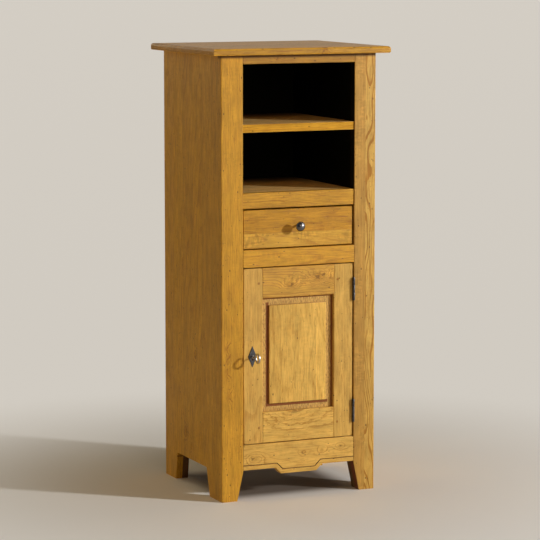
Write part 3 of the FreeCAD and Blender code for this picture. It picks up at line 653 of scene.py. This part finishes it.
def wood(name, order, start=ORIGIN, *, seed, knots=(), stain=None, foot=None, overhang_shade=None, beside=None,
         border=None, sheen=OAK_SHEEN, **grain):
    """Wood with its grain laid out by order: the axes along the grain, across the board and into it.

    start is the place where a stave begins, and each knot is two places on the board and its size.
    The painted shade of a niche has, for each axis that it names, where it starts and where it is full.
    The painted shade of a foot's inner face has the same.
    The painted shade under the top's overhang is an axis, and where on it the shade starts and is darkest.
    beside is an axis, the place on it where another stave begins, and what differs in that stave.
    border has the raised field on two axes, which a sunk rough border goes round, and where it ends along Y.
    """
    material, graph, surface = new_material(name)
    place = graph.node("ShaderNodeTexCoord").outputs["Object"]
    axis = dict(zip("XYZ", graph.parts(place)))
    oak = grown(graph, axis, order, start, seed, knots, grain)
    colour, roughness, height = [oak[key] for key in ("Colour", "Roughness", "Height")]
    surface["Specular IOR Level"].default_value = sheen
    if beside:
        letter, edge, change = beside
        other = grown(graph, axis, order, start, seed + BESIDE_SEED, knots, {**grain, **change})
        share = graph.fade(axis[letter], edge - STAVE_SEAM, edge + STAVE_SEAM)
        colour = graph.mix(share, colour, other["Colour"])
        height = graph.total(height, graph.times(share, graph.less(other["Height"], height)))
    if border:
        colour = paint_border(graph, axis, order, border, colour)
    # Painted shade under the top's overhang
    if overhang_shade:
        letter, first, thickest = overhang_shade
        colour = graph.mix(graph.fade(axis[letter], first, thickest, 0.0, OVERHANG_SHADE_SHARE), colour, NICK_BROWN)
    # Painted shade: the niches and the feet's inner faces are darkened
    for spans, dark in ((stain, PAINTED_NICHE_SHADE), (foot, PAINTED_FOOT_SHADE)):
        if spans:
            share = 1.0
            for letter, span in spans.items():
                share = graph.times(share, graph.fade(axis[letter], *span))
            colour = graph.mix(share, colour, dark)
    graph.fill(surface["Base Color"], colour)
    graph.fill(surface["Roughness"], roughness)
    bump = graph.node("ShaderNodeBump", {"Height": height, **OAK_BUMP})
    graph.fill(surface["Normal"], bump.outputs[0])
    return material


def metal(name, colour, worn_colour, roughness):
    """Forged or turned metal: hammered a little, with paler rubbed patches."""
    material, graph, surface = new_material(name)
    place = graph.node("ShaderNodeTexCoord").outputs["Object"]
    patch, fine = [
        graph.noise(graph.tint(place, waves), detail) for waves, detail in (METAL_PATCH, METAL_GRAIN)]
    graph.fill(surface["Base Color"], graph.mix(graph.fade(patch, *METAL_RUBBED), colour, worn_colour))
    graph.fill(surface["Roughness"], graph.total(
        roughness - METAL_SPREAD / 2.0, graph.times(fine, METAL_SPREAD)))
    surface["Metallic"].default_value = 1.0
    height = graph.total(patch, graph.times(fine, METAL_GRAIN_HEIGHT))
    bump = graph.node("ShaderNodeBump", {"Height": height, **METAL_BUMP})
    graph.fill(surface["Normal"], bump.outputs[0])
    return material


# Pieces


def show(name, mesh, body, material, slot, *nodes):
    """Puts a finished mesh on its body, in place of CAD nodes."""
    mesh.materials.clear()
    mesh.materials.append(material)
    piece = bpy.data.objects.new(name, mesh)
    bpy.context.scene.collection.objects.link(piece)
    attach(piece, body)
    if nodes:
        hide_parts(*nodes)


def cut_across(mesh, axis, places):
    """Cuts every face where it crosses the given places on one axis."""
    normal = Vector(ORIGIN)
    normal[axis] = 1.0
    for place in places:
        everything = mesh.verts[:] + mesh.edges[:] + mesh.faces[:]
        bmesh.ops.bisect_plane(
            mesh, geom=everything, dist=MERGE_GAP, plane_co=normal * place, plane_no=normal)


def even_places(low, high, step):
    """Places between two ends, about a step apart."""
    count = max(1, round((high - low) / step))
    return [low + (high - low) * k / count for k in range(1, count)]


def merged(node):
    """A copy of a CAD node's mesh with its triangles merged into whole faces."""
    mesh = bmesh.new()
    mesh.from_mesh(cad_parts[node].data)
    bmesh.ops.remove_doubles(mesh, verts=mesh.verts, dist=MERGE_GAP)
    bmesh.ops.dissolve_limit(mesh, angle_limit=FLAT_ANGLE, verts=mesh.verts, edges=mesh.edges)
    return mesh


def soften(mesh, width):
    """Rounds the sharp edges."""
    sharp = [e for e in mesh.edges if e.is_manifold and e.calc_face_angle() > SHARP_ANGLE]
    bmesh.ops.bevel(
        mesh, geom=sharp, offset=width, segments=EDGE_SEGMENTS, profile=EDGE_PROFILE, affect="EDGES",
        clamp_overlap=True)


def within_one(value):
    return min(1.0, max(0.0, value))


def roundness(normal):
    """How far a point lies on a rounded edge: 0 on a flat face, 1 in the middle of the round."""
    straight = max(abs(part) for part in normal)
    return within_one((ROUND_START - straight) / ROUND_SPAN)


def wear_edges(mesh, grain, nicks, groove):
    """Rubs the rounded edges down unevenly and knocks nicks into them; keeps how far as the edge's wear
    attribute, which also makes the rubbed edges lighter as a painted highlight.

    Each nick is its centre, its reach and its depth.
    groove is the place along Y of the floor of a groove, which is coloured darker.
    """
    layer = mesh.verts.layers.float.new("edge_wear_and_highlight")
    scale = WEAR_SCALE.copy()
    scale[grain] *= WEAR_STRETCH
    mesh.normal_update()
    moves = []
    for vert in mesh.verts:
        if groove is not None and abs(vert.co.y - groove) < GROOVE_BAND:
            vert[layer] = GROOVE_DARKENING
        edge = roundness(vert.normal)
        if edge == 0.0:
            continue
        rub = noise.noise(vert.co * scale) + RUB_FINE_SHARE * noise.noise(vert.co * scale * RUB_FINE)
        share = max(0.0, RUB_LEVEL + RUB_SHARE * rub) ** RUB_POWER
        depth = edge * share * WEAR_DEPTH
        mark = edge * min(MOST_RUB, max(LEAST_RUB, share))
        for centre, reach, nick_depth in nicks:
            hit = edge * math.exp(-((vert.co - centre).length / reach) ** 2)
            depth = max(depth, hit * nick_depth)
            mark = max(mark, hit)
        moves.append((vert, vert.normal * depth, mark))
    for vert, move, mark in moves:
        vert.co -= move
        vert[layer] = max(vert[layer], mark)


def mark_end_grain(mesh, grain):
    """Marks the faces that cut across the fibres."""
    layer = mesh.faces.layers.float.new("end_grain")
    for face in mesh.faces:
        face[layer] = within_one((abs(face.normal[grain]) - END_START) / END_SPAN)


def finished(mesh, name):
    """Turns the working mesh into a mesh whose narrow rounded strips are smooth and whose flats are flat."""
    for face in mesh.faces:
        longest = max(edge.calc_length() for edge in face.edges)
        face.smooth = face.calc_area() < ROUND_STRIP * longest
    made = bpy.data.meshes.new(name)
    mesh.to_mesh(made)
    mesh.free()
    return made


def board(node, body, material, grain, slot="oak", nicks=(), groove=None):
    """A board worn at its edges, in place of the node's sharp solid. grain is the axis along the fibres."""
    axis = "XYZ".index(grain)
    mesh = merged(node)
    low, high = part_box(node)
    cut_across(mesh, axis, even_places(low[axis], high[axis], CUT_STEP))
    for other in range(3):
        if other != axis and high[other] - low[other] > NARROW_BOARD:
            cut_across(mesh, other, (low[other] + EDGE_MARGIN, high[other] - EDGE_MARGIN))
    soften(mesh, SOFT_EDGE)
    mark_end_grain(mesh, axis)
    wear_edges(mesh, axis, nicks, groove)
    show(node + "_board", finished(mesh, node + "_board"), body, material, slot, node)


def fitting(node, body, material, slot="iron"):
    """A metal fitting with its edges eased and its round faces smooth."""
    mesh = merged(node)
    soften(mesh, FITTING_EDGE)
    show(node + "_fitting", finished(mesh, node + "_fitting"), body, material, slot, node)


def plain(node, material):
    """A CAD node whose shape is right, with a finish of its own."""
    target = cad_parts[node].data
    target.materials.clear()
    target.materials.append(material)


def screw_group():
    """Slotted screw heads set on points, each along the point's facing and turned by chance."""
    inputs = [
        ("Spots", "NodeSocketGeometry", None),
        ("Head Radius", "NodeSocketFloat", None),
        ("Head Height", "NodeSocketFloat", None),
        ("Slot Width", "NodeSocketFloat", None),
        ("Turn Seed", "NodeSocketInt", None),
        ("Finish", "NodeSocketMaterial", None),
    ]
    graph, given, result = new_group(
        "screw_heads", "GeometryNodeTree", inputs, [("Heads", "NodeSocketGeometry")])
    radius = given["Head Radius"]
    height = given["Head Height"]
    head = graph.node("GeometryNodeMeshCone", {
        "Vertices": HEAD_SIDES, "Radius Top": graph.times(radius, HEAD_TAPER), "Radius Bottom": radius,
        "Depth": height})
    slot_size = graph.vector(graph.times(radius, SLOT_LENGTH), given["Slot Width"], height)
    slot = graph.node("GeometryNodeMeshCube", {"Size": slot_size})
    lift = graph.vector(0.0, 0.0, graph.times(height, SLOT_LIFT))
    raised = graph.node("GeometryNodeTransform", {"Geometry": slot.outputs[0], "Translation": lift})
    slotted = graph.node(
        "GeometryNodeMeshBoolean", {"Mesh 1": head.outputs[0], "Mesh 2": raised.outputs[0]},
        operation="DIFFERENCE")
    facing = graph.node("GeometryNodeInputNamedAttribute", {"Name": "facing"}, data_type="FLOAT_VECTOR")
    aligned = graph.node("FunctionNodeAlignRotationToVector", {"Vector": facing.outputs[0]}, axis="Z")
    chance = graph.node("FunctionNodeRandomValue", {
        RANDOM_LOW: 0.0, RANDOM_HIGH: math.pi, "Seed": given["Turn Seed"]})
    spin = graph.node("FunctionNodeAxisAngleToRotation", {"Angle": chance.outputs[RANDOM_VALUE]})
    turned = graph.node(
        "FunctionNodeRotateRotation", {"Rotation": aligned.outputs[0], "Rotate By": spin.outputs[0]},
        rotation_space="LOCAL")
    set_heads = graph.node("GeometryNodeInstanceOnPoints", {
        "Points": given["Spots"], "Instance": slotted.outputs[0], "Rotation": turned.outputs[0]})
    whole = graph.node("GeometryNodeRealizeInstances", {"Geometry": set_heads.outputs[0]})
    coated = graph.node("GeometryNodeSetMaterial", {
        "Geometry": whole.outputs[0], "Material": given["Finish"]})
    graph.fill(result["Heads"], coated.outputs[0])
    return graph.tree


def screws(name, body, spots, size, finish):
    """Screw heads on one body; each spot is a place and the way that the head faces."""
    radius, height = size
    points = bpy.data.meshes.new(name + "_spots")
    points.from_pydata([place for place, facing in spots], [], [])
    ways = points.attributes.new("facing", "FLOAT_VECTOR", "POINT")
    for value, (place, facing) in zip(ways.data, spots):
        value.vector = facing
    holder = bpy.data.objects.new(name + "_spots", points)
    bpy.context.scene.collection.objects.link(holder)
    heads = holder.modifiers.new("heads", "NODES")
    heads.node_group = SCREWS
    values = {
        "Head Radius": radius, "Head Height": height, "Slot Width": radius * SLOT_WIDTH,
        "Turn Seed": len(spots), "Finish": finish}
    for item in SCREWS.interface.items_tree:
        if item.in_out == "INPUT" and item.name in values:
            heads[item.identifier] = values[item.name]
    view = bpy.context.evaluated_depsgraph_get()
    mesh = bpy.data.meshes.new_from_object(holder.evaluated_get(view))
    holder.modifiers.clear()
    bpy.data.objects.remove(holder)
    show(name, mesh, body, finish, "iron")


OAK = oak_group()
SCREWS = screw_group()
RAIL_JOINTS = {"joint_low": -OPENING_HALF, "joint_high": OPENING_HALF}
PALE = {"light_wood": PALE_LIGHT, "dark_wood": PALE_DARK}
HONEY = {"light_wood": HONEY_LIGHT, "dark_wood": HONEY_DARK}
INNER = {"light_wood": PLAIN_LIGHT, "dark_wood": PLAIN_DARK, "bands": 0.4, "worm": 0.1}


def shifted(place, moves, way=1.0):
    """Where a fade starts and is full, as moves from a place; way is -1 to mirror them."""
    return tuple(place + way * move for move in moves)


def inner_faces(way):
    """The painted shade of a stile's niche face and of its foot's inner face; way is -1 at the left and 1 at
    the right.
    """
    niche_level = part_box("niche_floor")[1].z
    apron_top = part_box("apron")[1].z
    edge = way * OPENING_HALF
    return {
        "stain": {
            "Y": shifted(FRONT, NICHE_FRONT), "Z": shifted(niche_level, NICHE_BASE),
            "X": shifted(edge, NICHE_SIDE, way)},
        "foot": {
            "Y": shifted(FRONT, FOOT_FRONT), "Z": shifted(apron_top, FOOT_TOP),
            "X": shifted(edge, FOOT_SIDE, way)},
    }


def build_carcass():
    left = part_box("left_side_panel")[0].x
    # Painted shade on the stiles and the top rail just under the top's overhang
    under_top = ("Z", *shifted(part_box("top_board")[0].z, TOP_OVERHANG_SHADE))
    board("top_board", "carcass", wood(
        "oak_top", "XYZ", (0.0, -0.245, 1.36), seed=3.0, stave_width=0.086, stave_change=0.25,
        knots=[(0.07, -0.245, 0.008)]), "X")
    for side, seed in zip(SIDES, (11.0, 17.0)):
        board(side + "_side_panel", "carcass", wood(
            "oak_%s_side" % side, "ZYX", (0.0, -0.216, left), seed=seed, stave_width=0.077,
            stave_change=0.18, tone=0.96, knots=[
                (0.4185, -0.007, 0.009), (0.1645, 0.074, 0.011), (0.1285, 0.030, 0.008),
                (1.27, 0.213, 0.006)]), "Z")
    left_nicks = [
        (Vector((-0.253, FRONT, 1.181)), 0.009, 0.0022), (Vector((-0.253, FRONT, 0.7686)), 0.011, 0.002)]
    board("left_front_stile", "carcass", wood(
        "oak_left_stile", "ZXY", (0.0, -0.2535, FRONT), seed=23.0, stave_width=0.071, stave_change=0.12,
        overhang_shade=under_top, ring_lines=0.2, pits=0.12, tone=0.98, knots=[
            (0.466, -0.234, 0.008), (0.428, -0.233, 0.007), (0.398, -0.233, 0.008),
            (0.322, -0.226, 0.008)], **inner_faces(-1.0)), "Z", nicks=left_nicks)
    outer_stave = {
        "light_wood": PALE_LIGHT, "dark_wood": HONEY_DARK, "ring_lines": 1.3, "ring_gap": 0.0034,
        "heart_aside": 0.07, "heart_tilt": 0.03, "ripple": 0.2, "tone": 0.95}
    board("right_front_stile", "carcass", wood(
        "oak_right_stile", "ZXY", (0.0, 0.180, FRONT), seed=29.0, stave_width=0.2, stave_change=0.1,
        tone=0.86, light_wood=PINK_LIGHT, dark_wood=PINK_DARK, ripple=0.6, overhang_shade=under_top, pits=0.1,
        beside=("X", STILE_SEAM, outer_stave), **inner_faces(1.0)), "Z")
    # The top rail's low tone and its dark top band are painted shade from the top's overhang
    board("top_front_rail", "carcass", wood(
        "oak_top_rail", "XZY", (0.0, 1.31, FRONT), seed=31.0, tone=0.70, overhang_shade=under_top,
        knots=[(-0.0718, 1.327, 0.007)], **RAIL_JOINTS), "X")
    board("niche_floor_rail", "carcass", wood(
        "oak_niche_rail", "XZY", (0.0, 0.86, FRONT), seed=37.0, worm=0.6, pits=0.1, **RAIL_JOINTS), "X")
    board("drawer_rail", "carcass", wood(
        "oak_drawer_rail", "XZY", (0.0, 0.69, FRONT), seed=41.0, ripple=0.4, tone=0.98, **RAIL_JOINTS), "X")
    board("apron", "carcass", wood(
        "oak_apron", "XZY", (0.0, 0.06, FRONT), seed=43.0, stave_width=0.12, worm=0.5, pits=0.08, tone=1.02,
        knots=[
            (-0.1464, 0.1248, 0.012), (0.015, 0.1326, 0.006), (0.0765, 0.134, 0.007),
            (0.1384, 0.1414, 0.007)], **PALE, **RAIL_JOINTS), "X", groove=FRONT + APRON_GROOVE)


def build_niches():
    """Boards of the niches, darkened towards the back by painted shade."""
    # The shelf tops are made paler than their fronts, with tone 1.36: painted light
    shelf_top = {"light_wood": SHELF_LIGHT, "dark_wood": SHELF_DARK, "tone": 1.36}
    shelf = {
        "stain": {"Y": shifted(FRONT, SHELF_SHADE_FADE)}, "beside": ("Y", FRONT + SHELF_NOSE, shelf_top),
        "sheen": DARK_NICHE_SHEEN}
    board("niche_shelf", "carcass", wood(
        "oak_niche_shelf", "XYZ", (0.0, -0.22, 1.134), seed=47.0, **shelf), "X")
    plain("niche_floor", wood("oak_niche_floor", "XYZ", (0.0, -0.22, 0.93), seed=53.0, **shelf))
    lining = wood(
        "oak_lining", "ZYX", (0.0, -0.2, OPENING_HALF), seed=59.0, stain={"Y": shifted(FRONT, LINING_SHADE_FADE)},
        sheen=DARK_NICHE_SHEEN)
    for side in SIDES:
        plain(side + "_niche_lining", lining)


def build_drawer_front():
    """The drawer's front, of an amber stave over a paler one."""
    amber_stave = {"light_wood": AMBER_LIGHT, "dark_wood": AMBER_DARK, "ripple": 0.2, "tone": 0.89}
    board("drawer_front", "drawer", wood(
        "oak_drawer_front", "XZY", (0.0, 0.74, FRONT), seed=61.0, stave_width=0.2, stave_change=0.1,
        bands=0.3, ripple=0.9, tone=0.92, beside=("Z", DRAWER_SEAM, amber_stave), **HONEY), "X")


def build_door():
    board("door_lock_stile", "door", wood(
        "oak_lock_stile", "ZXY", (0.0, -0.185, FRONT), seed=67.0, stave_width=0.07, stave_change=0.3,
        **PALE), "Z")
    board("door_hinge_stile", "door", wood(
        "oak_hinge_stile", "ZXY", (0.0, 0.114, FRONT), seed=71.0, stave_width=0.07, stave_change=0.2,
        tone=0.98, **PALE), "Z")
    board("door_top_rail", "door", wood(
        "oak_door_top_rail", "XZY", (0.0, 0.60, FRONT), seed=73.0, stave_width=0.12, ripple=0.7,
        ring_gap=0.0055, ring_lines=1.0, tone=1.03, knots=[
            (0.0657, 0.6696, 0.016), (0.084, 0.6752, 0.005), (0.1064, 0.6626, 0.005),
            (-0.03, 0.65, 0.012)], **HONEY), "X")
    # The bottom rail's tone above 1 is painted light: the lower door is made lighter
    board("door_bottom_rail", "door", wood(
        "oak_door_bottom_rail", "XZY", (0.0, 0.16, FRONT), seed=79.0, stave_width=0.12, ring_gap=0.011,
        ring_lines=0.6, bands=0.2, tone=1.13, knots=[(-0.016, 0.278, 0.030)], **PALE), "X")
    # The panel's tone above 1 is painted light: the lower door is made lighter
    board("door_panel", "door", wood(
        "oak_door_panel", "ZXY", (0.0, -0.119, FRONT), seed=83.0, stave_width=0.179, stave_change=0.1,
        ripple=0.2, tone=1.12, border=(PANEL_FIELD, PANEL_FIELD_REAR),
        beside=("X", PANEL_SEAM, {"tone": 1.2}), **PALE), "Z")
    board("door_pegs", "door", wood(
        "oak_pegs", "YXZ", seed=89.0, light_wood=PINK_DARK, dark_wood=END_BROWN), "Z")


def build_inner_boards():
    """Boards of plain wood: the back, the foot blocks and what is inside."""
    crosswise = wood("plain_crosswise", "XYZ", seed=101.0, **INNER)
    endwise = wood("plain_endwise", "YXZ", seed=103.0, **INNER)
    back_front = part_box("back_panel")[0].y
    back_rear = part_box("back_panel")[1].y
    niche_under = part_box("niche_floor")[0].z
    # Painted shade: the back is near black where it shows in the niches
    niche_back = {"Y": (back_rear - BACK_FADE, back_front + BACK_FADE), "Z": shifted(niche_under, BACK_BASE)}
    plain("back_panel", wood(
        "plain_back", "ZXY", seed=97.0, stain=niche_back, sheen=DARK_NICHE_SHEEN, **INNER))
    # The foot blocks are coloured near black: painted shade under the part
    for side in SIDES:
        for end in ("front", "rear"):
            node = "%s_%s_foot_block" % (side, end)
            board(node, "carcass", wood(
                "rough_" + node, "ZXY", seed=107.0, light_wood=BLOCK_LIGHT, dark_wood=BLOCK_DARK), "Z",
                "inner_wood")
    for node in (
            "drawer_deck", "cupboard_floor", "cupboard_shelf", "door_stop", "drawer_back", "drawer_bottom"):
        plain(node, crosswise)
    for side in SIDES:
        for node in ("_drawer_guide", "_drawer_kicker", "_drawer_stop", "_shelf_batten"):
            plain(side + node, endwise)
        plain("drawer_%s_side" % side, endwise)


def build_fittings():
    finish = {name: metal(name, *look) for name, look in METALS.items()}
    iron = finish["blackened_iron"]
    for level in LEVELS:
        fitting(level + "_hinge_frame_leaf", "carcass", iron)
        fitting(level + "_hinge_pin", "carcass", iron)
        fitting(level + "_hinge_door_leaf", "door", iron)
    fitting("strike_plate", "carcass", iron)
    fitting("escutcheon", "door", iron)
    fitting("lock_case", "door", iron)
    fitting("lock_bolt", "bolt", finish["bright_steel"], "steel")
    fitting("key", "key", finish["rubbed_iron"])
    fitting("drawer_knob", "drawer", finish["polished_iron"])
    build_screws(iron)


def hinge_spots(node, side):
    """Three screws on a hinge leaf; side is 1 for the leaf that faces right and -1 for the other."""
    low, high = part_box(node)
    face = HINGE_FACE_MIDDLE - side * HINGE_FACE_GAP / 2.0
    reach = high.y - HINGE_SCREW_INSET
    return [
        (Vector((face, reach - shift, low.z + (high.z - low.z) * share)), Vector((side, 0.0, 0.0)))
        for share, shift in HINGE_SCREWS]


def build_screws(iron):
    behind = Vector((0.0, 1.0, 0.0))
    frame_spots = []
    door_spots = []
    for level in LEVELS:
        frame_spots += hinge_spots(level + "_hinge_frame_leaf", -1)
        door_spots += hinge_spots(level + "_hinge_door_leaf", 1)
    low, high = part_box("strike_plate")
    for z in (low.z + PLATE_SCREW_INSET, high.z - PLATE_SCREW_INSET):
        frame_spots.append((Vector(((low.x + high.x) / 2.0, high.y, z)), behind))
    low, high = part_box("lock_case")
    for x in (low.x + CASE_SIDE_INSET, high.x - CASE_SIDE_INSET):
        for z in (low.z + CASE_END_INSET, high.z - CASE_END_INSET):
            door_spots.append((Vector((x, low.y + CASE_FLANGE, z)), behind))
    screws("carcass_fitting_screws", "carcass", frame_spots, FITTING_SCREW, iron)
    screws("door_fitting_screws", "door", door_spots, FITTING_SCREW, iron)

    # Screws of the back, of the shelf battens and of the door stop
    low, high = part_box("back_panel")
    ends = (low.z + BACK_END_INSET, high.z - BACK_END_INSET)
    edges = (low.x + BACK_SIDE_INSET, high.x - BACK_SIDE_INSET)
    across = even_places(low.x, high.x, BACK_PITCH_ACROSS)
    upward = even_places(low.z, high.z, BACK_PITCH_UP)
    wood_spots = [(Vector((x, high.y, z)), behind) for x in across for z in ends]
    wood_spots += [(Vector((x, high.y, z)), behind) for z in upward for x in edges]
    for side, way in zip(SIDES, (1.0, -1.0)):
        low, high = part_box(side + "_shelf_batten")
        face = high.x if way > 0.0 else low.x
        for y in even_places(low.y, high.y, BATTEN_PITCH):
            wood_spots.append((Vector((face, y, high.z - BATTEN_INSET)), Vector((way, 0.0, 0.0))))
    low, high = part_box("door_stop")
    wood_spots += [
        (Vector((x, high.y, low.z + STOP_RISE)), behind) for x in even_places(low.x, high.x, STOP_PITCH)]
    screws("board_screws", "carcass", wood_spots, BOARD_SCREW, iron)


# Room, light and camera


def build_floor():
    floor_mesh = bmesh.new()
    bmesh.ops.create_circle(floor_mesh, cap_ends=True, segments=FLOOR_SIDES, radius=FLOOR_RADIUS)
    floor = bpy.data.objects.new("floor", finished(floor_mesh, "floor"))
    material, graph, surface = new_material("pale_floor")
    surface["Roughness"].default_value = FLOOR_ROUGHNESS
    surface["Specular IOR Level"].default_value = FLOOR_SHEEN
    across, back = graph.parts(graph.node("ShaderNodeTexCoord").outputs["Object"])[:2]
    seen = graph.node("ShaderNodeLightPath").outputs["Is Camera Ray"]
    away = graph.length(across, back)
    glow = graph.times(seen, graph.fade(away, *FLOOR_FADE))
    far_colour = [ROOM_SEEN * part for part in ROOM_COLOUR]
    glow_colour = graph.mix(graph.fade(away, *FLOOR_FAR), FLOOR_GLOW, far_colour)
    # Painted shade on the floor under the part, fading in from its edges
    front_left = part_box("left_front_stile")[0]
    rear_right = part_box("right_side_panel")[1]
    outside = graph.most(graph.less(front_left.x, across), graph.less(across, rear_right.x))
    for past in (graph.less(front_left.y, back), graph.less(back, rear_right.y)):
        outside = graph.most(outside, past)
    shade = graph.fade(outside, 0.0, -FLOOR_SHADE_REACH, 0.0, FLOOR_SHADE_SHARE)
    ground = graph.mix(shade, FLOOR_COLOUR, FLOOR_SHADE)
    graph.fill(surface["Base Color"], graph.mix(glow, ground, BLACK))
    graph.fill(surface["Emission Color"], graph.mix(glow, BLACK, glow_colour))
    surface["Emission Strength"].default_value = 1.0
    floor.data.materials.append(material)
    bpy.context.scene.collection.objects.link(floor)


def build_room():
    world = bpy.data.worlds.new("room")
    bpy.context.scene.world = world
    world.use_nodes = True
    graph = Graph(world.node_tree)
    rays = graph.node("ShaderNodeLightPath").outputs
    seen = graph.most(rays["Is Camera Ray"], rays["Is Glossy Ray"])
    way = graph.parts(graph.node("ShaderNodeTexCoord").outputs["Object"])
    to_window = graph.total(*[graph.times(part, share) for part, share in zip(way, WINDOW_WAY)])
    window = graph.fade(to_window, *WINDOW_LIMITS, STUDIO_SEEN, WINDOW_SEEN)
    in_studio = graph.times(rays["Is Glossy Ray"], graph.fade(way[1], *STUDIO_LIMITS))
    brightness = graph.total(ROOM_SEEN, graph.times(in_studio, graph.less(window, ROOM_SEEN)))
    background = world.node_tree.nodes["Background"].inputs
    graph.fill(background["Color"], graph.mix(seen, ROOM_WARM, ROOM_COLOUR))
    graph.fill(background["Strength"], graph.total(
        ROOM_LIGHT, graph.times(seen, graph.less(brightness, ROOM_LIGHT))))


def add_lamp(name, place, size, power, colour):
    lamp = bpy.data.lights.new(name, "AREA")
    lamp.shape = "DISK"
    lamp.size = size
    lamp.energy = power
    lamp.color = colour
    holder = bpy.data.objects.new(name, lamp)
    holder.location = place
    holder.rotation_euler = (LAMP_AIM - place).to_track_quat("-Z", "Y").to_euler()
    bpy.context.scene.collection.objects.link(holder)


def build_light():
    add_lamp("key_lamp", KEY_PLACE, KEY_SIZE, KEY_POWER, KEY_WHITE)
    add_lamp("fill_lamp", FILL_PLACE, FILL_SIZE, FILL_POWER, FILL_WARM)
    add_lamp("side_lamp", SIDE_PLACE, SIDE_SIZE, SIDE_POWER, SIDE_WARM)
    add_lamp("back_lamp", BACK_PLACE, BACK_SIZE, BACK_POWER, SIDE_WARM)


def build_camera():
    lens = bpy.data.cameras.new("camera")
    lens.lens = CAMERA_LENS
    lens.sensor_width = CAMERA_SENSOR
    lens.clip_end = FLOOR_WIDTH
    camera = bpy.data.objects.new("camera", lens)
    ahead = Vector((
        math.sin(CAMERA_TURN) * math.cos(CAMERA_DIP), math.cos(CAMERA_TURN) * math.cos(CAMERA_DIP),
        -math.sin(CAMERA_DIP)))
    camera.location = CAMERA_TARGET - ahead * CAMERA_DISTANCE
    camera.rotation_euler = ahead.to_track_quat("-Z", "Y").to_euler()
    bpy.context.scene.collection.objects.link(camera)
    bpy.context.scene.camera = camera


bpy.context.scene.view_settings.view_transform = "Standard"
build_carcass()
build_niches()
build_drawer_front()
build_door()
build_inner_boards()
build_fittings()
build_floor()
build_room()
build_light()
build_camera()
